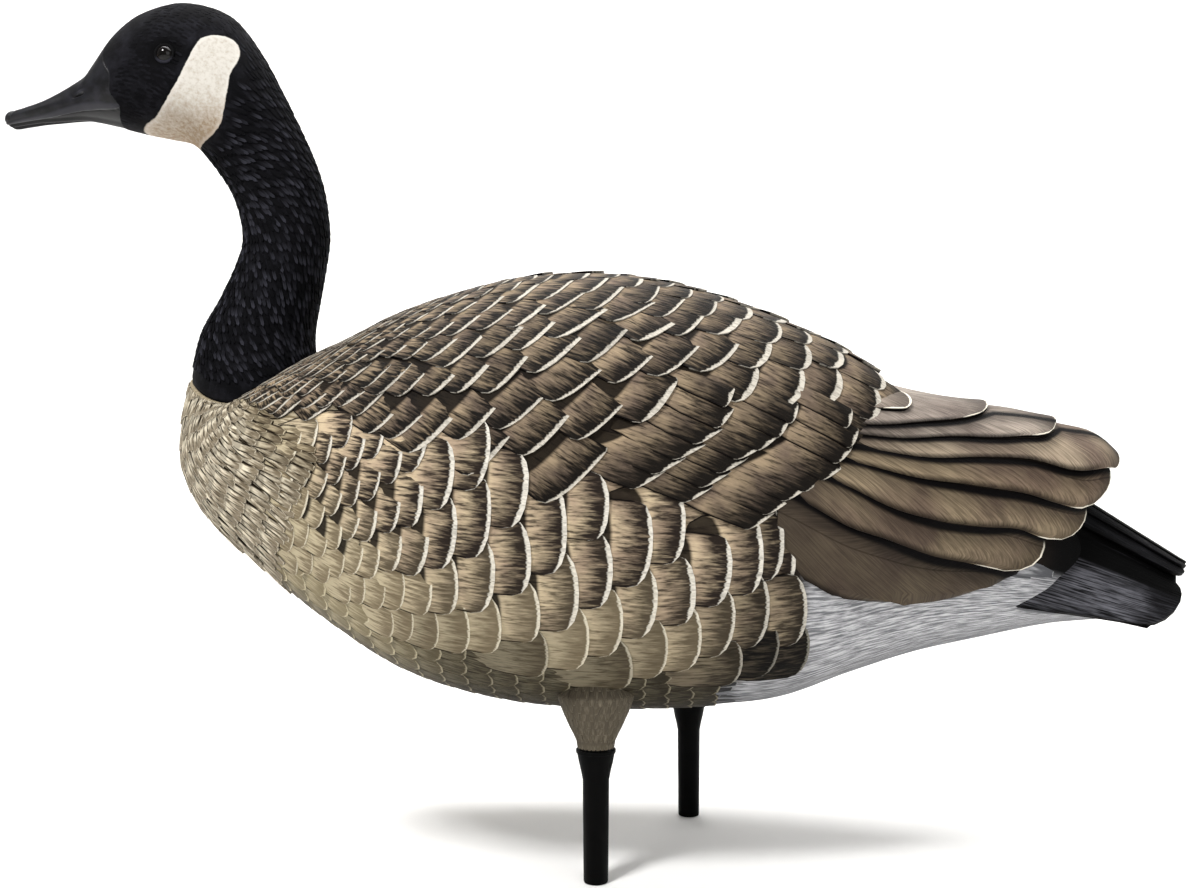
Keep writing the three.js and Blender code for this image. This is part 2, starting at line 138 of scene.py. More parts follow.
def paleness(share, turn):
    """How pale the paint is: brown on the back, cream on the breast and low on the sides."""
    brown_to = 0.42 + 0.13 * ease(share, 0.20, 0.45)
    return ease(np.abs(turn), brown_to, brown_to + 0.15) * (1 - 0.65 * ease(share, 0.52, 0.64))


def linear(hex_colour):
    """A linear colour from sRGB hex."""
    parts = [int(hex_colour[k:k + 2], 16) / 255 for k in (1, 3, 5)]
    return tuple(c / 12.92 if c <= 0.04045 else ((c + 0.055) / 1.055) ** 2.4 for c in parts) + (1.0,)


def add(material, kind, settings, inputs=(), out=0):
    """Adds a node with its settings, its inputs as values or links, and gives one output."""
    node = material.node_tree.nodes.new("ShaderNode" + kind)
    for name, value in settings.items():
        setattr(node, name, value)
    for key, value in inputs.items() if isinstance(inputs, dict) else enumerate(inputs):
        if isinstance(value, bpy.types.NodeSocket):
            material.node_tree.links.new(value, node.inputs[key])
        else:
            node.inputs[key].default_value = value
    return node.outputs[out]


colours, soft = {"data_type": "RGBA"}, {"interpolation_type": "SMOOTHSTEP"}
times, minus, larger = {"operation": "MULTIPLY"}, {"operation": "SUBTRACT"}, {"operation": "MAXIMUM"}
times_plus = {"operation": "MULTIPLY_ADD"}


def new_material(name, roughness, specular):
    """A material and its surface shader, with the two constants that every finish sets."""
    material = bpy.data.materials.new(name)
    material.use_nodes = True
    shader = material.node_tree.nodes["Principled BSDF"]
    shader.inputs["Roughness"].default_value = roughness
    shader.inputs["Specular IOR Level"].default_value = specular
    return material, shader


def wire(material, source, target):
    material.node_tree.links.new(source, target)


def store(mesh, **values):
    """Keeps numbers for a mesh's material, one for each point or the same one for all."""
    for name, value in values.items():
        value = np.broadcast_to(np.asarray(value, np.float32).ravel(), len(mesh.vertices))
        mesh.attributes.new(name, "FLOAT", "POINT").data.foreach_set("value", np.ascontiguousarray(value))


def store_map(mesh, name, across, down):
    """Keeps a flat map in millimetres, given for each point, as a UV map."""
    corner = np.empty(len(mesh.loops), np.int32)
    mesh.loops.foreach_get("vertex_index", corner)
    flat = np.stack([across.ravel()[corner], down.ravel()[corner]], -1).astype(np.float32)
    mesh.uv_layers.new(name=name).data.foreach_set("uv", flat.ravel())


def show(mesh, material, node=None, crisp=None):
    """Puts a finished mesh into the scene, smooth but for edges sharper than `crisp` degrees."""
    piece = bpy.data.objects.new(mesh.name, mesh)
    bpy.context.scene.collection.objects.link(piece)
    mesh.materials.append(material)
    mesh.polygons.foreach_set("use_smooth", np.ones(len(mesh.polygons), bool))
    if crisp:
        mesh.set_sharp_from_angle(angle=math.radians(crisp))
    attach(piece, "root")
    if node:
        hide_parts(node)


def finished(bm, name):
    """Makes a mesh of a shaped bmesh."""
    mesh = bpy.data.meshes.new(name)
    bm.to_mesh(mesh)
    bm.free()
    return mesh


def sheet(name, rings, sides, shape):
    """A closed skin from a grid: shape gives points from a share along and a turn round."""
    bm = bmesh.new()
    bmesh.ops.create_grid(bm, x_segments=rings, y_segments=sides, size=0.5)
    at = np.array([v.co[:] for v in bm.verts])
    share, turn = at[:, 0] + 0.5, at[:, 1] * 2
    place = shape(share, turn)
    for vert, to in zip(bm.verts, place):
        vert.co = to
    keep_share = bm.verts.layers.float.new("share")
    keep_turn = bm.verts.layers.float.new("turn")
    for vert, s, t in zip(bm.verts, share, turn):
        vert[keep_share] = s
        vert[keep_turn] = abs(t)
    bmesh.ops.remove_doubles(bm, verts=bm.verts, dist=0.02 * mm)
    ends = bmesh.ops.holes_fill(bm, edges=[e for e in bm.edges if e.is_boundary], sides=0)["faces"]
    bmesh.ops.poke(bm, faces=ends)
    bmesh.ops.recalc_face_normals(bm, faces=bm.faces)
    return finished(bm, name)


def read(mesh, name):
    """The numbers that a mesh keeps under a name."""
    values = np.empty(len(mesh.vertices), np.float32)
    mesh.attributes[name].data.foreach_get("value", values)
    return values


def body_under(share, turn):
    """The skin just under the feathers; at the rear, where none cover it, it is the form itself."""
    _, _, out = steps(body_form, share, turn)
    rear = ease(share, 0.60, 0.66) * ease(np.abs(turn), 0.52, 0.60)
    return body_form(share, turn) - out * (skin_drop * (1 - rear))[..., None]


body_mesh = sheet("body_skin", 150, 144, body_under)
share, turn = read(body_mesh, "share"), read(body_mesh, "turn")
neck_side = ease(turn, 0.38, 0.46) * (1 - ease(share, 0.26, 0.36))
store(body_mesh, pale=np.clip(paleness(share, turn) + 0.8 * neck_side, 0, 1),
      white=ease(share - 0.652 + 0.09 * ease(turn, 0.62, 1.0), -0.006, 0.010) * ease(turn, 0.50, 0.56),
      low=ease(turn, 0.66, 0.98), rear=ease(share, 0.88, 0.92))
# the skin is about 560 mm long, and 340 mm round from the back to the belly
store_map(body_mesh, "Flow", share * 560, turn * 340)

# Acrylic paint over moulded plastic, brushed on along the flow of the feathers: matt,
# with fine streaks, cream below, white behind; painted shade darkens it under the feathers,
# blackens the rear under the tail and greys it underneath.
skin_paint, shader = new_material("brushed_acrylic_body", 0.62, 0.05)
m = skin_paint
flow = add(m, "UVMap", {"uv_map": "Flow"})
# streaks 14 mm long and 2 mm apart
stretch = add(m, "VectorMath", times, (flow, (0.07, 0.55, 1.0)))
streak = add(m, "TexNoise", {}, {"Vector": stretch, "Scale": 1.0, "Detail": 4.0, "Roughness": 0.65})
sharp = add(m, "MapRange", {}, (streak, 0.42, 0.62, 0.0, 1.0))
cream = add(m, "Mix", colours, {0: sharp, 6: linear("#6d614b"), 7: linear("#b3a78e")}, 2)
pale, rear, low, white = (
    add(m, "Attribute", {"attribute_name": key}, (), 2) for key in ("pale", "rear", "low", "white"))
# dark brown where the skin shows between the feathers: painted shade
under = add(m, "Mix", colours, {0: pale, 6: linear("#1f1914"), 7: cream}, 2)
# near black towards the rear, under the tail: painted shade
under = add(m, "Mix", colours, {0: rear, 6: under, 7: linear("#060606")}, 2)
shade = add(m, "MapRange", {}, (low, 0.15, 1.0, 0.0, 0.75))
snow = add(m, "Mix", colours, {0: sharp, 6: linear("#66676a"), 7: linear("#bdbdbf")}, 2)
grey = add(m, "Mix", colours, {0: shade, 6: snow, 7: linear("#414245")}, 2)
coat = add(m, "Mix", colours, {0: white, 6: under, 7: grey}, 2)
wire(m, coat, shader.inputs["Base Color"])
ridge = add(m, "Bump", {}, {"Strength": 0.5, "Distance": 0.5 * mm, "Height": streak})
wire(m, ridge, shader.inputs["Normal"])
show(body_mesh, skin_paint, "body")


# Contour feathers: low plates moulded on the body, each tucked under the row ahead
# and proud at its tip. One blank serves them all; each is bent onto the form, and
# carries its own map in millimetres so that its paint keeps a crisp pale edge.
def blank(name, across, along_it):
    """A closed feather blank: a gridded top, a rim and one face beneath."""
    bm = bmesh.new()
    bmesh.ops.create_grid(bm, x_segments=across, y_segments=along_it, size=1)
    beneath = bm.faces[:]
    made = bmesh.ops.extrude_face_region(bm, geom=beneath)["geom"]
    for vert in made:
        if isinstance(vert, bmesh.types.BMVert):
            vert.co.z = 1
    bmesh.ops.dissolve_faces(bm, faces=beneath)
    bmesh.ops.recalc_face_normals(bm, faces=bm.faces)
    mesh = finished(bm, name)
    at = np.array([v.co[:] for v in mesh.vertices])
    return {"mesh": mesh, "u": np.sin(at[:, 0] * math.pi / 2), "v": (at[:, 1] + 1) / 2, "depth": 1 - at[:, 2]}


broad_blank = blank("broad_blank", 8, 6)
small_blank = blank("small_blank", 5, 4)
slim_blank = blank("slim_blank", 3, 3)

shape_keys = ("share", "turn", "angle", "length", "half", "rise", "skew", "blunt", "lop", "tuck")
paint_keys = ("shown", "edge", "pale", "soot", "open", "tone")
feather_root = -1.6 * mm  # a feather's hidden underside lies this far under its form


def place_plates(form, blank_used, rows):
    """Bends a blank onto the form for each row of numbers; returns places and maps."""
    f = {key: np.array([row[key] for row in rows], float)[:, None] for key in shape_keys + paint_keys}
    u, v, depth = blank_used["u"][None, :], blank_used["v"][None, :], blank_used["depth"][None, :]
    run, fall, out = steps(form, f["share"], f["turn"])
    back = run / np.linalg.norm(run, axis=-1, keepdims=True)
    down = np.cross(back, out)
    axis = back * np.cos(f["angle"])[..., None] + down * np.sin(f["angle"])[..., None]
    cross = np.cross(axis, out)
    bow = 1 - (1 - np.minimum(1, np.abs(u)) ** 2.3) ** (1 / 2.3)
    bow = bow * np.where(u < 0, 1 - f["lop"], 1)
    tip_line = -f["blunt"] * f["half"] * bow + f["skew"] * f["half"] * u
    reach = f["length"] * (v - 1) + tip_line * v
    narrow = 0.55 + 0.45 * ease(v, 0.0, 0.6)
    wide = f["half"] * u * narrow
    move = axis * reach[..., None] + cross * wide[..., None]
    aa, ab, bb = (run * run).sum(-1), (run * fall).sum(-1), (fall * fall).sum(-1)
    ma, mb = (move * run).sum(-1), (move * fall).sum(-1)
    span = aa * bb - ab * ab
    share = f["share"] + (ma * bb - mb * ab) / span
    turn = f["turn"] + (mb * aa - ma * ab) / span
    crown = 0.35 * f["rise"] * (1 - u * u) * np.sin(math.pi * 0.75 * v)
    lift = f["rise"] * (0.12 + 0.88 * v**1.3) + f["tuck"] * u * v + crown
    height = np.where(depth > 0.5, feather_root, lift) - skin_drop
    share = np.clip(share, 0.004, 0.996)
    _, _, up = steps(form, share, turn)
    place = form(share, turn) + up * height[..., None]
    flat = {"across": wide / mm, "tip": (tip_line - reach) / mm,
            "side": f["half"] * (1 - np.abs(u)) * narrow / mm, "depth": depth + 0 * wide}
    for key in paint_keys:
        flat[key] = (f[key] / mm if key in ("shown", "edge") else f[key]) + 0 * wide
    return place, flat


def mirror(mesh):
    """Adds the same feathers on the other side."""
    bm = bmesh.new()
    bm.from_mesh(mesh)
    copy = bmesh.ops.duplicate(bm, geom=bm.verts[:] + bm.edges[:] + bm.faces[:])["geom"]
    bmesh.ops.scale(bm, vec=(1, -1, 1), verts=[g for g in copy if isinstance(g, bmesh.types.BMVert)])
    bmesh.ops.reverse_faces(bm, faces=[g for g in copy if isinstance(g, bmesh.types.BMFace)])
    bm.to_mesh(mesh)
    bm.free()


def copies(name, blank_used, place, flat, mirrored):
    """Copies a blank for each feather, bends the copies to their places and keeps their maps."""
    bm = bmesh.new()
    for _ in place:
        bm.from_mesh(blank_used["mesh"])
    mesh = finished(bm, name)
    mesh.vertices.foreach_set("co", place.astype(np.float32).ravel())
    store_map(mesh, "Feather", flat.pop("across"), flat.pop("tip"))
    store(mesh, **flat)
    if mirrored:
        mirror(mesh)
    return mesh


def lay(name, form, blank_used, rows, material, mirrored=True):
    """Lays feathers on a form as one piece, each with a crisp rim."""
    place, flat = place_plates(form, blank_used, rows)
    show(copies(name, blank_used, place, flat, mirrored), material, crisp=50)


# The feathers' paint: acrylic brushed on feather by feather. A tan root, dark streaked
# barbs towards the tip, a dry-brushed pale edge, and painted shade in the recess.
def feather_paint(name, root, dark, edge, pale_root, pale_dark, pale_edge, shade_colour):
    m, shader = new_material(name, 0.6, 0.04)
    flat = add(m, "UVMap", {"uv_map": "Feather"})
    across, tip = add(m, "SeparateXYZ", {}, (flat,)).node.outputs[:2]
    tone, side, shown, width, pale, soot, depth, bare = (
        add(m, "Attribute", {"attribute_name": key}, (), 2)
        for key in ("tone", "side", "shown", "edge", "pale", "soot", "depth", "open"))
    # each feather shows a part of the pattern far from the next one's
    seed = add(m, "Math", times, (tone, 57.0))
    # barbs a little over 1 mm apart and 10 mm long, as coarse as they need to be to show
    barb_x = add(m, "Math", times, (across, 0.8))
    barb_y = add(m, "Math", times, (tip, 0.10))
    barb_at = add(m, "CombineXYZ", {}, (barb_x, barb_y, seed))
    barbs = add(m, "TexNoise", {}, {"Vector": barb_at, "Scale": 1.0, "Detail": 3.0, "Roughness": 0.6})
    loose = add(m, "Math", minus, (barbs, 0.5))
    # the dark streaks reach back unevenly from the tip
    ragged = add(m, "Math", times_plus, (loose, 34.0, tip))
    dark_to = add(m, "Math", times, (shown, 1.2))
    dark_from = add(m, "Math", times, (shown, 0.12))
    streaks = add(m, "MapRange", soft, (ragged, dark_from, dark_to, 1.0, 0.0))
    place = add(m, "TexCoord", {}, (), "Object")
    # the brushed ground mottles over about 14 mm
    mottle = add(m, "TexNoise", {}, {"Vector": place, "Scale": 0.07 / mm, "Detail": 3.0})
    warm = add(m, "MapRange", {}, (mottle, 0.35, 0.65, 0.0, 1.0))
    ground = add(m, "Mix", colours, {0: warm, 6: linear(root[0]), 7: linear(root[1])}, 2)
    brown = add(m, "Mix", colours, {0: streaks, 6: ground, 7: linear(dark)}, 2)
    pale_streaks = add(m, "Math", times, (streaks, 0.85))
    cream = add(m, "Mix", colours, {0: pale_streaks, 6: linear(pale_root), 7: linear(pale_dark)}, 2)
    coat = add(m, "Mix", colours, {0: pale, 6: brown, 7: cream}, 2)
    hair = add(m, "MapRange", soft, (barbs, 0.34, 0.48, 0.6, 0.0))
    hair_colour = add(m, "Mix", colours, {0: pale, 6: linear(dark), 7: linear(pale_dark)}, 2)
    # the darker tone and the painted shade lie over the whole feather, a little thinner between the barbs
    heavy = add(m, "MapRange", {}, (barbs, 0.42, 0.60, 1.0, 0.88))
    shade_and_tone_cover = add(m, "Math", times, (soot, heavy))
    # the pale edge narrows towards both ends of the tip
    ends = add(m, "MapRange", soft, (side, 0.0, 8.0, 0.05, 1.3))
    band = add(m, "Math", times, (width, ends))
    wavy = add(m, "Math", times_plus, (loose, 3.4, tip))
    inside = add(m, "Math", minus, (wavy, band))
    rim = add(m, "MapRange", soft, (inside, -0.45, 0.45, 1.0, 0.0))
    bared = add(m, "MapRange", {}, (soot, 0.2, 1.0, 1.0, 0.3))
    rim = add(m, "Math", times, (rim, bared))
    worn = add(m, "MapRange", {}, (barbs, 0.30, 0.55, 0.45, 1.0))
    rim = add(m, "Math", times, (rim, worn))
    chalk = add(m, "Mix", colours, {0: pale, 6: linear(edge), 7: linear(pale_edge)}, 2)
    # painted shade: down the rim, in the recess behind the row ahead and along the sides
    recess = add(m, "Math", minus, (tip, shown))
    behind = add(m, "MapRange", soft, (recess, -2.2, 0.1, 0.0, 0.95))
    covered = add(m, "Math", minus, (1.0, bare))
    behind = add(m, "Math", times, (behind, covered))
    beside = add(m, "MapRange", soft, (side, 0.25, 1.1, 1.0, 0.0))
    far = add(m, "MapRange", soft, (tip, 0.6, 3.0, 0.0, 1.0))
    beside = add(m, "Math", times, (beside, far))
    painted_shade = add(m, "Math", larger, (behind, beside))
    down = add(m, "MapRange", {}, (depth, 0.02, 0.30, 0.0, 1.0))
    painted_shade = add(m, "Math", larger, (painted_shade, down))
    coats = ((hair, hair_colour), (shade_and_tone_cover, linear("#090807")), (rim, chalk), (painted_shade, linear(shade_colour)))
    for cover, colour in coats:
        coat = add(m, "Mix", colours, {0: cover, 6: coat, 7: colour}, 2)
    wire(m, coat, shader.inputs["Base Color"])
    # finer barbs, half a millimetre apart, are cut into the surface
    fine_x = add(m, "Math", times, (across, 1.9))
    fine_y = add(m, "Math", times, (tip, 0.22))
    fine_at = add(m, "CombineXYZ", {}, (fine_x, fine_y, seed))
    fine = add(m, "TexNoise", {}, {"Vector": fine_at, "Scale": 1.0, "Detail": 2.0})
    cut = add(m, "Bump", {}, {"Strength": 0.55, "Distance": 0.45 * mm, "Height": fine})
    wire(m, cut, shader.inputs["Normal"])
    return m


rand = np.random.default_rng(11)


def feather(share, turn, length, half, **more):
    """One feather's numbers, with the usual ones filled in."""
    numbers = {"share": share, "turn": turn, "length": length, "half": half, "angle": 0.0, "rise": 2.0 * mm,
           "skew": 0.0, "blunt": 0.7, "lop": 0.0, "tuck": 0.3 * mm, "shown": 0.5 * length, "edge": 1.2 * mm,
           "pale": 0.0, "soot": 0.0, "open": 0.0, "tone": rand.random()}
    numbers.update(more)
    return numbers


def staggered(first, last, level, row_at):
    """Places on the body in staggered rows: row_at gives a row's pitch, its feathers' width,
    its first and last turn and, unless they are 0 and 0.5, the shifts of even and odd rows.
    The lengths per share and turn are measured at `level`."""
    share, row = first, 0
    while share < last:
        run, fall, _ = steps(body_form, np.array([min(share, 0.95)]), np.array([level]))
        run, fall = np.linalg.norm(run), np.linalg.norm(fall)
        pitch, wide, start, end, *shifts = row_at(share)
        step = wide / fall
        turn = start + (shifts or (0.0, 0.5))[row % 2] * step
        while turn < end:
            yield share, turn, pitch, wide, run, step
            turn += step
        share += pitch / run
        row += 1


# Mantle, scapulars and back: moulded in low relief, from small dense rows behind the neck
# to broad scales over the folded wing. The rows lean forward as they come down the side,
# and those on the spine stand up a little, so that they show against the sky.
back_paint = feather_paint(
    "brushed_acrylic_back", ("#96846c", "#6f6053"), "#13100d", "#b6b0a4",
    "#b3a78c", "#6d604c", "#c5beac", "#060403")


def back_size(share):
    return ease(share, 0.27, 0.46)


back_pitch = ((0.03, 0.27, 0.40, 0.45, 0.50, 0.60, 0.70),  # shares, and the rows' pitch in millimetres
              (7.0, 8.0, 14.5, 17.5, 19.5, 22.5, 25))


def back_row(share):
    size = back_size(share)
    return np.interp(share, *back_pitch) * mm, (13 + 15 * size) * mm, 0.0, 0.455 + 0.02 * size


coverts_from = [(0.318, 0.568), (0.356, 0.572), (0.406, 0.557), (0.466, 0.523)]  # turn and share
mantle = []
for share, turn, pitch, wide, run, step in staggered(0.035, 0.76, 0.3, back_row):
    size, scale = back_size(share), ease(share, 0.50, 0.60)
    square, side = ease(share, 0.50, 0.62), ease(turn, 0.1, 0.25)
    lean = 0.19 - 0.10 * ease(share, 0.42, 0.60)
    here = share - lean * (turn - 0.3) + rand.uniform(-0.13, 0.13) * pitch / run
    behind = np.interp(turn, *zip(*coverts_from)) - 0.026
    if 0.02 < here < 0.70 + 0.05 * ease(0.30 - turn, 0.0, 0.03) and (turn < 0.335 or here < behind):
        size_here = rand.uniform(0.84, 1.22)
        mantle.append(feather(
            here, turn + rand.uniform(-0.12, 0.12) * step, 2.3 * pitch + 7 * mm, 0.62 * wide * size_here,
            angle=math.radians((22 - 14 * scale) * ease(turn, 0.05, 0.25) + rand.uniform(-7, 7)),
            rise=(1.1 + 1.3 * size) * mm, blunt=0.42 + 0.38 * square, lop=0.75 - 0.5 * square,
            skew=-0.22 * side * (1 - ease(share, 0.52, 0.62)), tuck=(0.2 + 0.25 * size) * mm,
            shown=1.05 * pitch, pale=paleness(here, turn),
            edge=(0.70 + 0.65 * size + 0.6 * scale) * rand.uniform(0.65, 1.45) * mm))
# a darker tone at random, and painted shade round the shoulder where the mantle meets the scapulars
for one in mantle:
    shoulder = math.exp(-((one["share"] - 0.34) / 0.07) ** 2 - ((one["turn"] - 0.34) / 0.10) ** 2)
    one["soot"] = 0.42 * one["tone"] ** 3 + 0.45 * shoulder * (1 - one["tone"])
    one["rise"] *= 1 + 0.6 * ease(0.06 - one["turn"], 0.0, 0.04)
off_spine = 0.02  # a feather nearer the middle line than this is its own mirror image
lay("mantle_feathers", body_form, broad_blank, [one for one in mantle if one["turn"] > off_spine], back_paint)
lay("spine_feathers", body_form, broad_blank, [one for one in mantle if one["turn"] <= off_spine], back_paint,
    mirrored=False)

# Flank: upright crescents moulded over the wing's lower edge, brushed tan with broad
# off-white edges. Two rows stand half hidden above the flank's own top line.
flank_paint = feather_paint(
    "brushed_acrylic_flank", ("#bdab8d", "#9b8873"), "#211b17", "#c6c1b6",
    "#a89d83", "#665a46", "#c6bea9", "#080504")
flank_top = [(0.27, 0.455), (0.46, 0.462), (0.523, 0.470), (0.557, 0.482), (0.603, 0.502), (0.625, 0.530),
             (0.65, 0.575), (0.68, 0.620)]  # share and turn


def flank_top_at(share):
    return np.interp(share, *zip(*flank_top)) + 0.022


def flank_row(share):
    size = ease(share, 0.30, 0.46)
    start = flank_top_at(share) + 0.03 * (1 - ease(share, 0.28, 0.32))
    shifts = (0.0, -0.42) if share < 0.43 else (0.02, -0.50)
    return (9 + 11 * size) * mm, (15 + 14 * size) * mm, start, 0.73, *shifts


flank = []
for share, turn, pitch, wide, run, step in staggered(0.27, 0.668, 0.55, flank_row):
    size, top = ease(share, 0.30, 0.46), flank_top_at(share)
    here = share + 0.17 * (turn - 0.47) + rand.uniform(-0.06, 0.06) * pitch / run
    half_hidden = share > 0.43 and turn < top - 0.2 * step
    if here < 0.675:
        # darker at the rear just under the wing, and low down above the thigh: painted shade
        flank.append(feather(
            here, turn, 2.2 * pitch + 8 * mm, 0.66 * wide * rand.uniform(0.9, 1.15),
            angle=math.radians(rand.uniform(-5, 5) - 6), blunt=0.52, shown=1.05 * pitch,
            rise=(1.4 + 1.4 * size) * (0.3 if half_hidden else 1.0) * mm,
            open=turn <= top or share < 0.30 or turn > 0.64,
            edge=(0.8 + 0.9 * size) * rand.uniform(0.8, 1.25) * (1 - 0.5 * ease(turn, 0.57, 0.68)) * mm,
            pale=max(paleness(here, turn), 0.85 * (1 - ease(share, 0.27, 0.31))),
            soot=max(ease(turn, 0.585, 0.635) * ease(here, 0.590, 0.630),
                     0.7 * ease(turn, 0.655, 0.72) * ease(here, 0.38, 0.46))))
flank.append(feather(0.628, 0.512, 44 * mm, 18 * mm, angle=math.radians(-4), rise=2.6 * mm, blunt=0.6,
                     shown=19 * mm, edge=1.6 * mm, soot=0.35))  # closes the corner before the wing's root
lay("flank_feathers", body_form, broad_blank, flank, flank_paint)

# Wing coverts: three slanting rows of narrower feathers with square skewed tips, moulded
# between the scapulars and the long wing feathers and painted like the back.
covert_rows = [  # the tips' line in shares and turns, the feathers' length in millimetres, and their number
    ([(0.568, 0.318), (0.572, 0.356), (0.557, 0.406), (0.523, 0.466)], 42, 6),
    ([(0.622, 0.318), (0.619, 0.345), (0.602, 0.390), (0.593, 0.402), (0.557, 0.474)], 48, 7),
    ([(0.663, 0.300), (0.676, 0.330), (0.672, 0.358), (0.657, 0.415), (0.635, 0.440), (0.603, 0.492)], 58, 8)]
line_points = 81
coverts = []
for tips, length, count in covert_rows:
    fine = along(np.array(tips), np.linspace(0, 1, line_points))
    track = body_form(fine[:, 0], fine[:, 1])
    walked = np.concatenate([[0], np.cumsum(np.linalg.norm(np.diff(track, axis=0), axis=1))])
    for k in range(count):
        at = np.interp((k + 0.5) / count * walked[-1], walked, np.arange(line_points))
        here, turn = along(np.array(tips), np.array([at / (line_points - 1)]))[0]
        coverts.append(feather(
            here, turn, length * mm, 0.62 * walked[-1] / count, angle=math.radians(13),
            rise=(0.5 + 0.058 * length) * mm, blunt=0.35, lop=0.6, skew=-0.78 * ease(k / count, 0.0, 0.45),
            tuck=0.9 * mm, shown=34 * mm, edge=1.5 * mm))
lay("wing_coverts", body_form, broad_blank, coverts, back_paint)

# Belly: pale moulded scales with a thin line of painted shade round each; underneath,
# where little of them is seen, the painted shade grows larger and greyer.
belly_paint = feather_paint(
    "brushed_acrylic_belly", ("#7d745f", "#6a614f"), "#3b352c", "#b5ab93",
    "#a59b80", "#70654d", "#bdb398", "#1c1710")
belly = []
for share, turn, pitch, wide, run, step in staggered(
        0.30, 0.62, 0.8, lambda share: (13.5 * mm, 15.5 * mm, 0.70, 1.0)):
    here = share + 0.05 * (turn - 0.7)
    # less pale and darker underneath, and darker above the thigh: painted shade
    belly.append(feather(
        here, turn, 2.0 * pitch + 3 * mm, 0.60 * wide, angle=math.radians(rand.uniform(-6, 6)),
        rise=1.2 * mm, blunt=0.9, tuck=0.15 * mm, shown=pitch, open=0.6, edge=0.7 * mm,
        pale=(1 - 0.8 * ease(turn, 0.78, 0.90)) * (1 - 0.6 * ease(here, 0.50, 0.60)),
        soot=max(0.55 * ease(turn, 0.76, 0.88), 0.85 * ease(turn, 0.64, 0.72) * ease(here, 0.36, 0.46))))
lay("belly_feathers", body_form, small_blank, belly, belly_paint)

# Breast: hair-fine moulded feathers that fan out from under the neck, brushed pale cream
# over dark painted shade in the gaps. They darken into the back's brown along their upper line.
breast_paint = feather_paint(
    "brushed_acrylic_breast", ("#8d7f62", "#7c6f55"), "#4f4433", "#c9bd9f",
    "#d3c9b3", "#5a4e3c", "#ddd4c0", "#1a130b")


def breast_top_at(share):
    return 0.435 + 0.06 * ease(share, 0.18, 0.28)


breast = []
for share, turn, pitch, wide, run, step in staggered(
        0.02, 0.31, 0.7, lambda share: (13.0 * mm, 3.9 * mm, breast_top_at(share), 1.0)):
    here = share + rand.uniform(-0.25, 0.25) * pitch / run
    # a darker tone at random, and darker towards the bottom line: painted shade
    breast.append(feather(
        here, turn, 2.3 * pitch, 0.58 * wide, angle=math.radians(rand.uniform(-7, 7)),
        rise=(0.7 + 0.3 * ease(turn, 0.6, 0.8) + 1.2 * ease(share, 0.20, 0.27)) * rand.uniform(0.8, 1.2) * mm,
        blunt=2.0, tuck=0.15 * mm, shown=1.0 * pitch, open=0.5, edge=0.4 * mm,
        pale=0.15 + 0.85 * ease(turn - breast_top_at(share), 0.0, 0.07 + 0.05 * rand.random()),
        soot=0.3 * rand.random() ** 2 + 0.5 * ease(turn, 0.84, 0.97)))
lay("breast_feathers", body_form, slim_blank, breast, breast_paint)

# Long wing feathers: the folded wings lie over the rump as one arched bundle. Each
# feather is a long plate whose lower edge stands proud of the next one below it.
bundle_top = outline([
    (0.561, 0.820), (0.640, 0.790), (0.699, 0.742), (0.758, 0.709),
    (0.812, 0.690), (0.856, 0.664), (0.892, 0.642), (0.918, 0.594)])
bundle_low = outline([
    (0.561, 0.345), (0.622, 0.297), (0.681, 0.278), (0.736, 0.289),
    (0.792, 0.332), (0.843, 0.387), (0.881, 0.456), (0.902, 0.500)])
bundle_half = body_width * np.array([0.408, 0.380, 0.356, 0.31, 0.255, 0.195, 0.13, 0.055])


def wing_form(share, outer):
    """Points of the folded wings: outer runs from 0 on the middle to 1 at the lower edge."""
    share, outer = np.broadcast_arrays(np.asarray(share, float), np.asarray(outer, float))
    side, out = np.sign(outer), np.abs(outer)
    near, under = np.minimum(out, 1), np.maximum(0, out - 1)
    down = near**1.35 - under * 0.5
    bulge = np.sin(math.pi / 2 * np.minimum(1, near * 1.45)) ** 0.9
    tuck = 1 - 0.16 * near**4 - under * 1.4
    upper, lower = along(bundle_top, share), along(bundle_low, share)
    middle = upper + (lower - upper) * down[..., None]
    across = along(bundle_half, share)[..., 0] * bulge * tuck
    across = across + 14 * mm * ease(near, 0.52, 0.82) * (1 - ease(share, 0.10, 0.36))
    return np.stack([middle[..., 0], -side * across, middle[..., 1]], -1)


def wing_under(share, turn):
    """The closed layer just inside the bundle, which no feather covers at its lower side."""
    share, outer = 0.12 + 0.87 * share, 1.6 * turn
    limit = np.interp(share, (0.12, 0.48, 0.58, 0.70, 0.80, 0.90, 0.99),
                      (1.0, 0.98, 0.84, 0.72, 0.66, 0.50, 0.44))
    narrow = 0.955 - 0.09 * (1 - ease(share, 0.12, 0.30))
    place = wing_form(share, np.clip(outer, -limit, limit))
    place[..., 1] *= narrow * (1 - np.clip((np.abs(outer) - limit) / (1.6 - limit), 0, 1))
    place[..., 2] += (-1.2 + 4 * ease(np.abs(outer), 0.8, 1.1) * (1 - ease(share, 0.4, 0.5))) * mm
    return place


wing_mesh = sheet("wing_underlayer", 60, 96, wing_under)
# with no paleness all of this layer takes the skin's dark brown: painted shade under the wing's feathers
store(wing_mesh, pale=0, rear=0, low=0, white=0)
store_map(wing_mesh, "Flow", read(wing_mesh, "share") * 215, read(wing_mesh, "turn") * 150)
show(wing_mesh, skin_paint)

long_blank = blank("long_blank", 10, 28)


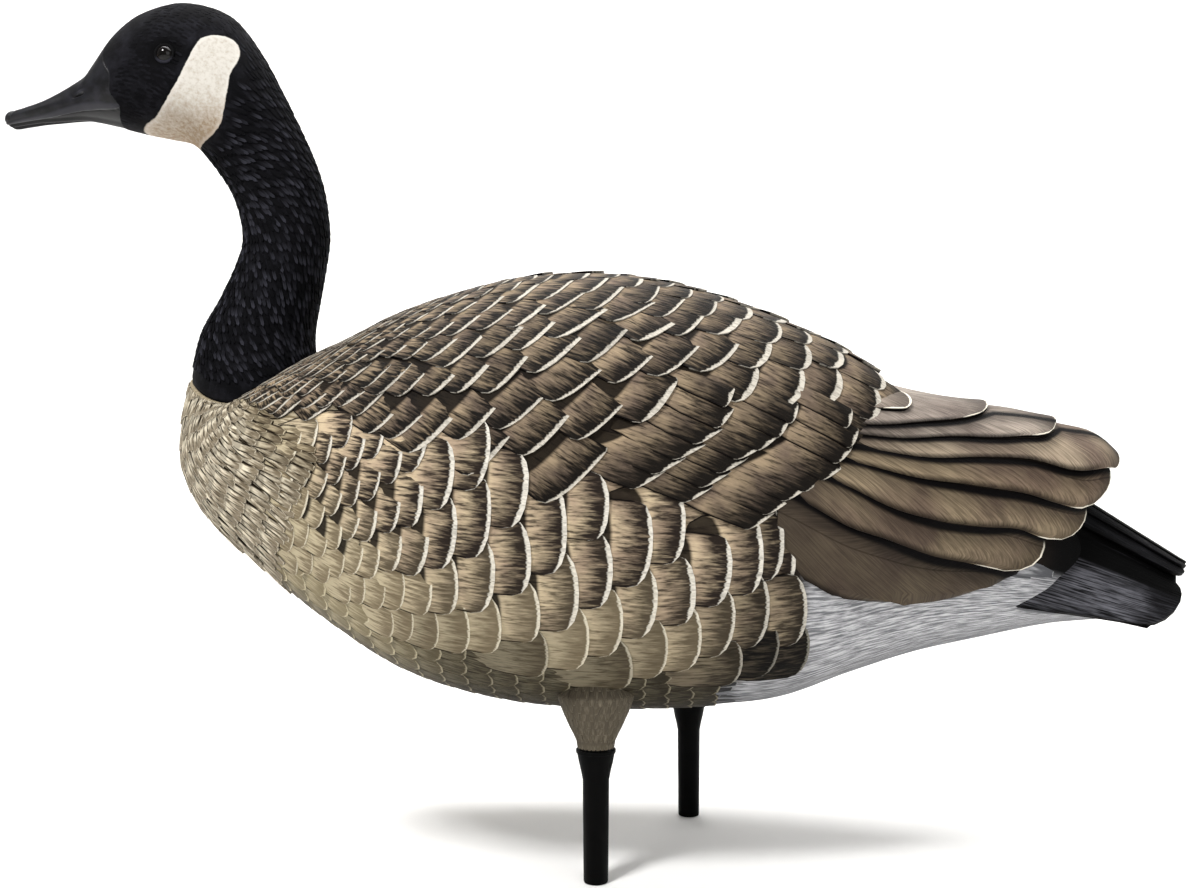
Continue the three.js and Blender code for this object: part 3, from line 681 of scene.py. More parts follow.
def through(pairs, at):
    """A smooth line through pairs of a share and a value."""
    x, y = np.array(pairs, float).T
    slope = np.gradient(y, x) if len(x) > 2 else np.full(2, (y[1] - y[0]) / (x[1] - x[0]))
    at = np.clip(at, x[0], x[-1])
    k = np.clip(np.searchsorted(x, at) - 1, 0, len(x) - 2)
    w = x[k + 1] - x[k]
    t = (at - x[k]) / w
    return ((1 + 2 * t) * (1 - t) ** 2 * y[k] + t * (1 - t) ** 2 * w * slope[k]
            + t * t * (3 - 2 * t) * y[k + 1] + t * t * (t - 1) * w * slope[k + 1])


def place_long(form, blank_used, quills):
    """Bends a blank between an upper and a lower line for each feather."""
    u, v, depth = blank_used["u"], blank_used["v"], blank_used["depth"]
    bow = 1 - (1 - np.minimum(1, np.abs(u)) ** 2.2) ** (1 / 2.2)
    bow = np.where(u < 0, bow * 0.45, bow)
    places, maps = [], []
    for q in quills:
        run, _, _ = steps(form, np.array([q["tip"] - 0.03]), np.array([q["lower"][-1][1]]))
        length = float(np.linalg.norm(run)) * (q["tip"] - q["root"])
        cut = q["blunt"] * q["half"] / length
        share = q["root"] + (q["tip"] - q["root"]) * (v - cut * bow * v**2)
        high, low = through(q["upper"], share), through(q["lower"], share)
        outer = high + (low - high) * (u + 1) / 2
        _, fall, up = steps(form, share, outer)
        wide = np.linalg.norm(fall, axis=-1) * (low - high) / 2
        lift = q["rise"] * (0.25 + 0.75 * v**1.2) + q["tuck"] * u * ease(v, 0.0, 0.25)
        lift = lift + q["crown"] * (1 - u * u)
        height = np.where(depth > 0.5, lift - q["thick"], lift)
        places.append(form(share, outer) + up * height[..., None])
        over = through(q["over"], share) if "over" in q else high - 1
        # the painted shade in the gap below the feather above widens towards the feather's middle
        gape = q["gape"] * np.sin(math.pi * np.clip(v * 1.1 - 0.15, 0, 1)) ** 2
        maps.append({
            "across": wide * u / mm, "tip": length * (1 - v) / mm + 0 * u,
            "side": wide * (1 - u) / mm, "depth": depth,
            "recess": (outer - over) * np.linalg.norm(fall, axis=-1) / mm - gape,
            "edge": q["edge"] / mm + 0 * u, "pale": q["pale"] + 0 * u,
            # darker towards the root, under the coverts: painted shade
            "soot": q["soot"] + (q["shade"] - q["soot"]) * (1 - ease(share, 0.0, 0.13)),
            "tone": q["tone"] + 0 * u})
    return np.array(places), {key: np.array([one[key] for one in maps]) for key in maps[0]}


def lay_long(name, form, blank_used, quills, material, mirrored=True):
    """Lays long feathers on a form as one piece, each with a crisp rim."""
    place, flat = place_long(form, blank_used, quills)
    show(copies(name, blank_used, place, flat, mirrored), material, crisp=50)


def quill(upper, lower, root, tip, half, **more):
    """One long feather's numbers: its upper and lower line over the shares, and its ends."""
    numbers = {"upper": upper, "lower": lower, "root": root, "tip": tip, "half": half,
               "rise": 2.2 * mm, "tuck": 1.7 * mm, "crown": 1.3 * mm, "thick": 2.2 * mm, "blunt": 1.0,
               "edge": 1.3 * mm, "gape": 2.5, "soot": 0.0, "shade": 0.85, "pale": 0.0, "tone": rand.random()}
    numbers.update(more)
    return numbers


# The feathers' lower lines: share along the bundle and place from its top to its edge.
gap_tertial = [(-0.05, 0.45), (0.184, 0.394), (0.29, 0.318), (0.43, 0.222), (0.50, 0.15)]
gap_1 = [(-0.05, 0.50), (0.22, 0.424), (0.376, 0.345), (0.542, 0.318), (0.634, 0.28), (0.70, 0.17)]
gap_2 = [(-0.05, 0.55), (0.206, 0.486), (0.318, 0.462), (0.432, 0.43), (0.568, 0.446), (0.69, 0.515),
         (0.82, 0.56), (1.0, 0.56)]
gap_3 = [(-0.05, 0.57), (0.148, 0.56), (0.276, 0.556), (0.396, 0.556), (0.53, 0.604), (0.652, 0.70),
         (0.76, 0.806), (0.92, 0.90)]
gap_4 = [(-0.05, 0.62), (0.118, 0.65), (0.194, 0.68), (0.31, 0.70), (0.44, 0.73), (0.546, 0.782),
         (0.614, 0.858), (0.80, 1.05)]
gap_5 = [(-0.05, 0.70), (0.054, 0.744), (0.124, 0.78), (0.22, 0.796), (0.324, 0.832), (0.458, 0.894),
         (0.56, 1.0), (0.68, 1.14)]
low_edge = [(-0.05, 0.96), (0.20, 1.02), (0.60, 1.06), (0.75, 1.10)]
middle_line = [(0, -0.06), (1, -0.06)]


def shifted(line, by):
    return [(s, o - by) for s, o in line]


wing_quills = [
    quill(shifted(gap_5, 0.10), low_edge, 0.0, 0.575, 12 * mm,
          rise=0.6 * mm, over=gap_5, edge=0.0, soot=0.78),
    quill(shifted(gap_4, 0.12), gap_5, 0.0, 0.635, 10 * mm, rise=1.0 * mm, over=gap_4, blunt=4.2, soot=0.40),
    quill(shifted(gap_3, 0.12), gap_4, 0.0, 0.775, 9 * mm, rise=1.3 * mm, over=gap_3, blunt=3.6, soot=0.28),
    quill(shifted(gap_2, 0.12), gap_3, 0.0, 0.895, 9 * mm, rise=1.6 * mm, over=gap_2, blunt=3.0, soot=0.12),
    quill(middle_line, gap_2, 0.0, 0.98, 12 * mm, rise=2.0 * mm, over=gap_1, edge=0.5 * mm, pale=0.3),
    quill(middle_line, gap_1, 0.0, 0.70, 12 * mm, rise=3.2 * mm, over=gap_tertial, pale=0.8, edge=1.0 * mm),
    quill(middle_line, gap_tertial, 0.0, 0.50, 12 * mm, rise=4.2 * mm,
          over=[(-0.05, 0.10), (0.3, -0.02)], pale=0.9, edge=1.0 * mm, gape=0.0, shade=0.2),
    quill([(-0.1, 0.12), (0.5, 0.12)], [(-0.1, 0.36), (0.2, 0.32), (0.29, 0.27)], 0.0, 0.285, 9 * mm,
          rise=5.2 * mm, pale=0.7, edge=1.4 * mm, shade=0.2),
    quill([(-0.1, -0.08), (0.5, -0.08)], [(-0.1, 0.16), (0.2, 0.16), (0.25, 0.13)], 0.0, 0.22, 9 * mm,
          rise=5.8 * mm, pale=0.7, edge=1.4 * mm, shade=0.2)]


# The long feathers' paint: olive brown on the flight feathers and grey brown on the
# upper ones, with fine slanting barbs, a thin shaft, black painted shade in the gaps and white tips.
def quill_paint(name, ground, upper, dark, edge, shade_colour, barb_contrast=0.5, roughness=0.55,
                barb=(2.0, 0.62, 0.12), above=(-6.0, -1.5)):
    m, shader = new_material(name, roughness, 0.04)
    flat = add(m, "UVMap", {"uv_map": "Feather"})
    across, tip = add(m, "SeparateXYZ", {}, (flat,)).node.outputs[:2]
    tone, side, recess, width, pale, soot, depth = (
        add(m, "Attribute", {"attribute_name": key}, (), 2)
        for key in ("tone", "side", "recess", "edge", "pale", "soot", "depth"))
    seed = add(m, "Math", times, (tone, 57.0))
    off = add(m, "Math", {"operation": "ABSOLUTE"}, (across,))
    # the wing's barbs are 1.6 mm apart and slant back from the shaft at about 27 degrees;
    # the tail's are brush streaks down the feather, 1.1 mm apart and 20 mm long
    slant = add(m, "Math", times_plus, (off, barb[0], tip))
    barb_x = add(m, "Math", times, (slant, barb[1]))
    barb_y = add(m, "Math", times, (across, barb[2]))
    barb_at = add(m, "CombineXYZ", {}, (barb_x, barb_y, seed))
    barbs = add(m, "TexNoise", {}, {"Vector": barb_at, "Scale": 1.0, "Detail": 3.0, "Roughness": 0.6})
    place = add(m, "TexCoord", {}, (), "Object")
    # the olive ground drifts over about 33 mm
    mottle = add(m, "TexNoise", {}, {"Vector": place, "Scale": 0.03 / mm, "Detail": 4.0})
    warm = add(m, "MapRange", {}, (mottle, 0.36, 0.64, 0.0, 1.0))
    olive = add(m, "Mix", colours, {0: warm, 6: linear(ground[0]), 7: linear(ground[1])}, 2)
    greyer = add(m, "Mix", colours, {0: warm, 6: linear(upper[0]), 7: linear(upper[1])}, 2)
    coat = add(m, "Mix", colours, {0: pale, 6: olive, 7: greyer}, 2)
    lines = add(m, "MapRange", {}, (barbs, 0.38, 0.62, barb_contrast, 0.0))
    # darker towards the tip, inside the pale edge
    to_tip = add(m, "MapRange", soft, (tip, 2.0, 22.0, 0.55, 0.0))
    shaft = add(m, "MapRange", soft, (off, 0.2, 0.6, 0.5, 0.0))
    back_off = add(m, "MapRange", soft, (tip, 10.0, 24.0, 0.3, 7.0))
    low_rim = add(m, "Math", {"operation": "ADD"}, (side, back_off))
    rim_at = add(m, "Math", {"operation": "MINIMUM"}, (tip, low_rim))
    loose = add(m, "Math", minus, (barbs, 0.5))
    wavy = add(m, "Math", times_plus, (loose, 1.5, rim_at))
    inside = add(m, "Math", minus, (wavy, width))
    rim = add(m, "MapRange", soft, (inside, -0.2, 0.3, 1.0, 0.0))
    # black painted shade in the gap below the feather above, beside the tip and down the rim
    behind = add(m, "MapRange", soft, (recess, 0.9, 6.0, 1.0, 0.0))
    beside = add(m, "MapRange", soft, (side, 0.1, 4.0, 0.8, 0.0))
    far = add(m, "MapRange", soft, (tip, 14.0, 26.0, 0.0, 1.0))
    beside = add(m, "Math", times, (beside, far))
    painted_shade = add(m, "Math", larger, (behind, beside))
    shade = add(m, "MapRange", soft, (recess, 2.0, 13.0, 0.5, 0.0))
    painted_shade = add(m, "Math", larger, (painted_shade, shade))
    hidden = add(m, "MapRange", soft, (recess, above[0], above[1], 0.15, 1.0))
    painted_shade = add(m, "Math", times, (painted_shade, hidden))
    down = add(m, "MapRange", {}, (depth, 0.02, 0.30, 0.0, 1.0))
    painted_shade = add(m, "Math", larger, (painted_shade, down))
    coats = (lines, dark), (soot, "#26211d"), (to_tip, dark), (shaft, dark), (rim, edge), (painted_shade, shade_colour)
    for cover, colour in coats:
        coat = add(m, "Mix", colours, {0: cover, 6: coat, 7: linear(colour)}, 2)
    wire(m, coat, shader.inputs["Base Color"])
    cut = add(m, "Bump", {}, {"Strength": 0.6, "Distance": 0.5 * mm, "Height": barbs})
    wire(m, cut, shader.inputs["Normal"])
    return m


wing_paint = quill_paint(
    "brushed_acrylic_wing", ("#96856c", "#705f51"), ("#9a9087", "#736962"), "#15100c", "#d8d2c2", "#030202")
lay_long("wing_feathers", wing_form, long_blank, wing_quills, wing_paint)

# Tail: a closed fan of stiff dark feathers. Three lie on top, and the outer ones hang
# lower on each side.
tail_middle = outline([(0.845, 0.550), (0.988, 0.330)])
tail_edge = outline([(0.800, 0.275), (0.940, 0.228)])
tail_half = body_width * np.array([0.145, 0.2])


def tail_form(share, across):
    """Points of the tail's top: across runs from 0 in the middle to 1 at the left edge."""
    share, across = np.broadcast_arrays(np.asarray(share, float), np.asarray(across, float))
    outward = (np.abs(across) ** 1.6)[..., None]
    start = tail_middle[0] + (tail_edge[0] - tail_middle[0]) * outward
    end = tail_middle[1] + (tail_edge[1] - tail_middle[1]) * outward
    at = start + (end - start) * share[..., None]
    side = -across * (tail_half[0] + (tail_half[1] - tail_half[0]) * share)
    return np.stack([at[..., 0], side, at[..., 1]], -1)


def tail_shell(share, across, turn, drop, narrow=1.0):
    """A closed layer under the tail's top: it hangs lower towards its sides."""
    hang = 5 * mm * np.clip(share, 0, 1) * ease(np.abs(across), 0.30, 0.42)
    place = tail_form(share, across * narrow)
    place[..., 2] -= drop + hang + 2.6 * mm * (1 - np.cos(turn * math.pi))
    return place


def tail_under(share, turn):
    share, across = -0.25 + 1.17 * share, np.sin(turn * math.pi)
    share = share - 0.10 * np.abs(across) ** 3 * ease(share, 0.5, 0.97)
    return tail_shell(share, across, turn, 1.5 * mm, 0.985)


tail_paint = quill_paint(
    "brushed_acrylic_tail", ("#66666c", "#2c2c30"), ("#232326", "#131315"), "#070708", "#161618", "#010101",
    barb_contrast=1.0, roughness=0.5, barb=(0.0, 0.05, 0.9), above=(-24.0, -12.0))
tail_mesh = sheet("tail_underlayer", 50, 96, tail_under)
share, turn = read(tail_mesh, "share"), read(tail_mesh, "turn")
store_map(tail_mesh, "Feather", turn * 110, 120 * (1 - share))
far_in = 9  # a plain layer has no rim: all of it is painted as this many millimetres inside one
# a recess of -1 paints all of this layer in the tail's near-black painted shade
store(tail_mesh, side=far_in, depth=0, recess=-1, edge=0, pale=0, soot=0, tone=0.4)
show(tail_mesh, tail_paint)

tail_blank = blank("tail_blank", 8, 22)


def tail_quill(middle, spread, tip, **more):
    """One tail feather's numbers: it runs straight, to `spread` on both sides of `middle`."""
    upper, lower = [[(-0.3, edge), (1.1, edge)] for edge in (middle - spread, middle + spread)]
    numbers = quill(upper, lower, -0.2, tip, 11 * mm, rise=1.0 * mm, tuck=0.9 * mm, crown=0.6 * mm,
                    thick=2.4 * mm, blunt=0.9, edge=0.0, gape=0.0, shade=0.0)
    numbers.update(more)
    return numbers


lay_long("tail_feathers", tail_form, tail_blank, [
    tail_quill(0.755, 0.295, 0.992, rise=-3.2 * mm, tuck=0.4 * mm, crown=1.6 * mm, half=16 * mm,
               over=[(-0.3, 0.65), (1, 0.69)]),
    tail_quill(0.28, 0.15, 0.975, rise=-0.6 * mm, pale=1.0, over=[(-0.3, 0.20), (1, 0.22)]),
    tail_quill(0.14, 0.13, 0.985, rise=0.8 * mm, pale=1.0, over=[(-0.3, 0.10), (1, 0.10)])], tail_paint)
lay_long("tail_top_feather", tail_form, tail_blank, [
    tail_quill(0.0, 0.11, 1.0, rise=2.2 * mm, tuck=0.0, pale=1.0)], tail_paint, mirrored=False)

# Rump and undertail: soft white feathers, moulded under the wings and along the tail's
# underside, greyed by painted shade that deepens underneath. Two lie over the tail's root.
white_paint = feather_paint(
    "brushed_acrylic_white", ("#bfbfc1", "#8b8c8f"), "#515255", "#cfcfcf",
    "#bfbfc1", "#515255", "#cfcfcf", "#626366")


def rump_row(share):
    return 21 * mm, 5.4 * mm, 0.60 - 0.08 * ease(share, 0.68, 0.74), 1.0


rump = []
for share, turn, pitch, wide, run, step in staggered(0.655, 0.965, 0.8, rump_row):
    here = share - 0.07 * ease(turn, 0.60, 1.0) + rand.uniform(-0.3, 0.3) * pitch / run
    # darker underneath by a random amount: painted shade; a little random darker tone everywhere
    rump.append(feather(
        here, turn, 2.0 * pitch, 0.62 * wide, angle=math.radians(rand.uniform(-8, 8)),
        rise=0.5 * rand.uniform(0.3, 1.4) * mm, blunt=3.2, tuck=0.2 * mm, shown=1.2 * pitch, edge=0.5 * mm,
        soot=0.85 * ease(turn, 0.62, 0.80) * rand.uniform(0.45, 1.0) + 0.15 * rand.random()))
lay("rump_feathers", body_form, slim_blank, rump, white_paint)


def undertail_skin(share, turn):
    share = -0.5 + 1.36 * share
    across = np.sin(turn * math.pi) * (1.0 - 0.30 * np.clip(share, 0, 1) ** 2)
    return tail_shell(share, across, turn, 5.5 * mm)


undertail_mesh = sheet("undertail", 40, 64, undertail_skin)
share, turn = read(undertail_mesh, "share"), read(undertail_mesh, "turn")
store_map(undertail_mesh, "Feather", turn * 90, 20 + 0 * share)
store(undertail_mesh, side=far_in, depth=0, shown=26, edge=0, pale=0, soot=0, open=0, tone=0.3)
show(undertail_mesh, white_paint)
tuft = [
    feather(share, turn, length * mm, half * mm, rise=rise * mm, blunt=2.0, edge=0.0, shown=5 * mm, open=1.0)
    for share, turn, length, half, rise in ((0.02, 0.80, 26, 3.4, -0.6), (0.09, 0.72, 30, 3.2, -1.2))]
lay("tail_covert_tuft", tail_form, small_blank, tuft, white_paint)

# Thighs: short feathered cones moulded on the belly, each ending in a level face where
# the peg's collar meets it, and brushed in a duller brown than the flank.
left_leg, right_leg = (-29.5 * mm, -62.5 * mm), (29.5 * mm, 62.5 * mm)
thigh_foot, thigh_height, thigh_cut = 72 * mm, 64 * mm, 0.62  # only this share shows below the belly
thigh_least, thigh_growth = 10.2 * mm, 13.8 * mm  # the radius at the foot, and what it gains upwards
thigh_swell = ((0, 0, 0.08, 0.17, 0.3, 0.45, 1), (0, 0.02, 0.1, 0.32, 0.6, 0.85, 0.95))  # height and gain


def thigh_form_at(centre):
    def thigh_form(share, turn):
        share, turn = np.broadcast_arrays(np.asarray(share, float), np.asarray(turn, float))
        up = thigh_cut * (1 - share)
        radius = thigh_least + thigh_growth * np.interp(up, *thigh_swell)
        radius = radius * (1 - 0.26 * ease(up, 0.42, 0.60))
        angle = turn * math.pi
        return np.stack([centre[0] + radius * np.cos(angle), centre[1] - radius * np.sin(angle),
                         thigh_foot + thigh_height * up], -1)
    return thigh_form


thigh_paint = feather_paint(
    "brushed_acrylic_thigh", ("#736b5c", "#625a4d"), "#554e42", "#7a7263",
    "#736b5c", "#554e42", "#7a7263", "#4a443a")
thigh_rows, thigh_round = 9, 26
thigh_feathers = [feather(
    0.16 + row * 0.105, -1 + (k + 0.5 * (row % 2)) * 2 / thigh_round, 10 * mm, 1.5 * mm,
    rise=0.3 * mm, blunt=2.6, edge=0.0, shown=5 * mm, tuck=0.0,
    soot=0.1 + 0.12 * rand.random(), angle=math.radians(rand.uniform(-8, 8)))
    for row in range(thigh_rows) for k in range(thigh_round)]
for side, centre in (("left", left_leg), ("right", right_leg)):
    form = thigh_form_at(centre)
    mesh = sheet(f"{side}_thigh", 24, 48,
                 lambda share, turn: form(share, turn) - steps(form, share, turn)[2] * skin_drop)
    share, turn = read(mesh, "share"), read(mesh, "turn")
    store_map(mesh, "Feather", turn * 42, 18 + 4 * share)
    # darker towards the top, where the thigh meets the belly: painted shade
    store(mesh, side=far_in, depth=0, shown=26, edge=0, pale=0, open=0, tone=0.2,
          soot=0.55 - 0.35 * ease(share, 0.12, 0.40))
    show(mesh, thigh_paint)
    lay(f"{side}_thigh_feathers", form, slim_blank, thigh_feathers, thigh_paint, mirrored=False)

# Head and neck: one flocked moulding that plugs into the body, covered with short
# raised strokes that run down and back. The form runs from the bill tip to the seat.
head_width, head_reach, neck_height = 67 * mm, 185 * mm, 224 * mm
seat_middle = (back_line[0] + belly_line[0]) / 2


def head_outline(first, pairs):
    """Side-outline points from the bill tip to the neck seat, from shares of the head's sizes."""
    points = [(seat_middle[0] - f * head_reach, seat_middle[1] + u * neck_height) for f, u in pairs]
    return np.vstack([first[None], points])[::-1]


nape_line = head_outline(back_line[0], [
    (-0.190, 0.100), (-0.208, 0.191), (-0.230, 0.291), (-0.239, 0.370), (-0.224, 0.475), (-0.192, 0.559),
    (-0.147, 0.643), (-0.092, 0.737), (-0.025, 0.842), (0.064, 0.932), (0.198, 0.966), (0.322, 0.945),
    (0.404, 0.900), (0.455, 0.845), (0.493, 0.798), (0.554, 0.761), (0.639, 0.720), (0.712, 0.697),
    (0.763, 0.685), (0.789, 0.672)])
throat_line = head_outline(belly_line[0], [
    (0.163, 0.100), (0.102, 0.191), (0.048, 0.291), (0.034, 0.359), (0.063, 0.454), (0.118, 0.527),
    (0.159, 0.567), (0.210, 0.600), (0.283, 0.613), (0.347, 0.623), (0.401, 0.634), (0.449, 0.643),
    (0.496, 0.651), (0.541, 0.656), (0.585, 0.655), (0.623, 0.653), (0.681, 0.650), (0.732, 0.644),
    (0.770, 0.639), (0.789, 0.644)])
neck_half_widths = head_width / 2 * np.array([
    1.14, 0.99, 0.88, 0.79, 0.745, 0.73, 0.745, 0.805, 0.895, 0.97, 1.0,
    0.955, 0.85, 0.70, 0.55, 0.45, 0.39, 0.36, 0.34, 0.30, 0.15])[::-1]


def head_form(share, turn):
    """Points of the head and neck: share runs from the bill tip to the neck seat."""
    share, turn = np.broadcast_arrays(np.asarray(share, float), np.asarray(turn, float))
    sag = neck_sag * np.maximum(0, 1 - (1 - share) * 8) ** 2
    widest = 0.5 + 0.08 * ease(1 - share, 0.35, 0.5)
    half_width = along(neck_half_widths, share)[..., 0]
    return rib(along(nape_line, share), along(throat_line, share), half_width, widest,
               neck_squareness, sag, turn)


def bill_edge(turn):
    """Where the feathered face ends and the bare bill begins."""
    return 1 - through([
        (0, 0.645), (0.445, 0.641), (0.555, 0.604), (0.637, 0.594), (0.68, 0.591), (0.732, 0.575),
        (0.779, 0.559), (0.86, 0.560), (1, 0.566)], np.abs(turn))


eye_share, eye_turn = 1 - 0.513, 0.452
eye_middle = head_form([eye_share], [eye_turn])[0]
eye_out = steps(head_form, np.array([eye_share]), np.array([eye_turn]))[2][0]


def from_eyes(place, squash=(1, 1, 1)):
    """Distance from the middle of the nearer eye."""
    left, right = (np.linalg.norm((place - eye_middle * (1, sign, 1)) * squash, axis=-1) for sign in (1, -1))
    return np.minimum(left, right)


def head_skin(share, turn):
    """The flocked skin: thinner where the bare bill begins, and sunk round the eyes."""
    share = 0.30 + 0.70 * share
    place = head_form(share, turn)
    _, _, out = steps(head_form, share, turn)
    drop = 1.0 * mm + 2.6 * mm * (1 - ease(share - bill_edge(turn), -0.004, 0.003))
    drop = drop + 0.9 * mm * ease(share, 0.993, 1.0)
    drop = drop + 1.3 * mm * (1 - ease(from_eyes(place, (1, 0.6, 1.25)), 4 * mm, 13 * mm))
    return place - out * drop[..., None]


cheek = np.array([  # the white patch's outline in the side view
    (-252.5, 465.0), (-255.9, 458.8), (-259.8, 449.3), (-264.5, 439.7), (-271.6, 430.2), (-280.0, 422.8),
    (-288.6, 420.2), (-295.3, 418.5), (-303.0, 418.3), (-308.0, 412.0), (-302.0, 400.0), (-267.0, 398.0),
    (-260.5, 406.8), (-252.6, 409.6), (-246.0, 413.0), (-241.0, 419.4), (-237.6, 435.4), (-236.4, 445.1),
    (-233.4, 453.2), (-233.2, 460.0), (-235.6, 465.2), (-239.6, 467.6), (-246.1, 467.6),
    (-252.5, 465.0)]) * mm


def inside_outline(loop, place):
    """Signed distance in the side view, in millimetres: positive inside the loop."""
    loop = along(loop, np.linspace(0, 1, 160))
    a, b = loop[:-1], loop[1:]
    p = place[:, None, [0, 2]] - a[None]
    edge = (b - a)[None]
    t = np.clip((p * edge).sum(-1) / (edge**2).sum(-1), 0, 1)
    gap = np.linalg.norm(p - edge * t[..., None], axis=-1).min(1)
    x, z = place[:, 0][:, None], place[:, 2][:, None]
    climb = np.where(b[:, 1] == a[:, 1], 1e-12, b[:, 1] - a[:, 1])
    cross_x = a[:, 0] + (z - a[:, 1]) / climb * (b[:, 0] - a[:, 0])
    hits = (((a[:, 1] > z) != (b[:, 1] > z)) & (x < cross_x)).sum(1)
    return np.where(hits % 2 == 1, gap, -gap) / mm


head_mesh = sheet("head_and_neck_skin", 250, 128, head_skin)
spots = np.empty(len(head_mesh.vertices) * 3)
head_mesh.vertices.foreach_get("co", spots)
spots = spots.reshape(-1, 3)
store(head_mesh, cheek=inside_outline(cheek, spots), high=ease(spots[:, 2], 404 * mm, 440 * mm),
      eye=1 - ease(from_eyes(spots), 5 * mm, 17 * mm))

# Flocking: nylon fibre blown onto wet paint, black with a faint blue-grey bloom, and an
# off-white cheek patch that turns dusty tan towards the chin.
flock, shader = new_material("black_flocking", 0.95, 0.05)
m = flock
shader.inputs["Sheen Weight"].default_value = 0.03
shader.inputs["Sheen Roughness"].default_value = 0.5
place = add(m, "TexCoord", {}, (), "Object")
# fibres about 0.7 mm apart, as coarse as they need to be to show; the bloom drifts over 11 mm
fibre = add(m, "TexNoise", {}, {"Vector": place, "Scale": 1.4 / mm, "Detail": 2.0})
bloom = add(m, "TexNoise", {}, {"Vector": place, "Scale": 0.09 / mm, "Detail": 4.0, "Roughness": 0.65})
bloomed = add(m, "MapRange", {}, (bloom, 0.45, 0.75, 0.0, 0.8))
black = add(m, "Mix", colours, {0: bloomed, 6: linear("#060608"), 7: linear("#1c1c21")}, 2)
# the patch's rim is ragged and its chin speckled, both over about 2.4 mm
eye_hollow_shade, high, cheek_in = (
    add(m, "Attribute", {"attribute_name": key}, (), 2) for key in ("eye", "high", "cheek"))
# darker in the hollows round the eyes: painted shade
black = add(m, "Mix", colours, {0: eye_hollow_shade, 6: black, 7: linear("#030304")}, 2)
speckle = add(m, "TexNoise", {}, {"Vector": place, "Scale": 0.42 / mm, "Detail": 3.0, "Roughness": 0.7})
dusty = add(m, "Math", times_plus, (speckle, 1.5, -0.66))
dusty = add(m, "Math", {**minus, "use_clamp": True}, (high, dusty))
patch = add(m, "Mix", colours, {0: dusty, 6: linear("#84735f"), 7: linear("#b9b5ad")}, 2)
ragged = add(m, "Math", times_plus, (speckle, 1.2, cheek_in))
mask = add(m, "MapRange", soft, (ragged, 0.3, 0.9, 0.0, 1.0))
lit = add(m, "MapRange", soft, (cheek_in, 0.5, 2.5, 0.2, 0.0))
patch = add(m, "Mix", colours, {0: lit, 6: patch, 7: linear("#d9d6d0")}, 2)
coat = add(m, "Mix", colours, {0: mask, 6: black, 7: patch}, 2)
wire(m, coat, shader.inputs["Base Color"])
fuzz = add(m, "Bump", {}, {"Strength": 0.35, "Distance": 0.3 * mm, "Height": fibre})
wire(m, fuzz, shader.inputs["Normal"])
show(head_mesh, flock, "head_neck")

# Strokes of the neck: fibre pressed into short ridges while the glue was wet, with a
# blue-grey painted highlight on their tips. They leave the bill, the cheek patch and the eyes bare.
stroke_paint, shader = new_material("black_flocking_strokes", 0.85, 0.05)
m = stroke_paint
flat = add(m, "UVMap", {"uv_map": "Feather"})
tip = add(m, "SeparateXYZ", {}, (flat,), 1)
tone, strength = (add(m, "Attribute", {"attribute_name": key}, (), 2) for key in ("tone", "pale"))
tip_highlight = add(m, "MapRange", {}, (tone, 0.35, 1.0, 0.0, 1.0))
near_tip = add(m, "MapRange", soft, (tip, 0.3, 7.0, 1.0, 0.0))
tip_highlight = add(m, "Math", times, (tip_highlight, near_tip))
tip_highlight = add(m, "Math", times, (tip_highlight, strength))
# a blue-grey painted highlight on each stroke's tip, stronger down the neck
coat = add(m, "Mix", colours, {0: tip_highlight, 6: linear("#060608"), 7: linear("#29292f")}, 2)
wire(m, coat, shader.inputs["Base Color"])

stroke_blank = blank("stroke_blank", 2, 2)
stroke_wide, stroke_scatter = 2.7 * mm, 5.4 * mm


def head_at(share, turn):
    return head_form([share], [turn])[0]


strokes = []
share, row = 0.44, 0
while share < 0.992:
    run = np.linalg.norm(steps(head_form, np.array([share]), np.array([0.5]))[0])
    turn = 0.004
    while turn < 0.998:
        here = share + rand.uniform(-0.25, 0.25) * stroke_scatter / run
        step = stroke_wide / np.linalg.norm(steps(head_form, np.array([here]), np.array([turn]))[1])
        turn_here = turn + (0.5 * step if row % 2 else 0.0) + rand.uniform(-0.2, 0.2) * step
        turn += step
        down_neck = ease(here, 0.50, 0.66)
        length = (4.5 + 5.5 * down_neck) * mm
        ends = np.array([head_at(here, turn_here), head_at(here - length / run, turn_here)])
        if here < bill_edge(np.array([turn_here]))[0] + 0.02 or turn_here > 1:
            continue
        if inside_outline(cheek, ends).max() > -1.6 or np.linalg.norm(ends[0] - eye_middle) < 9 * mm:
            continue
        strokes.append(feather(
            min(here, 0.994), turn_here, length, (0.70 + 0.20 * down_neck) * mm,
            angle=-math.radians(36 * down_neck * math.sin(math.pi * turn_here) + rand.uniform(-6, 6)),
            rise=(0.12 + 0.62 * down_neck) * mm, blunt=1.6, tuck=0.05 * mm, pale=0.2 + 0.8 * down_neck))
    share += (4.2 + 1.2 * ease(share, 0.50, 0.66)) * mm / run
    row += 1
lay("neck_strokes", head_form, stroke_blank, strokes, stroke_paint)

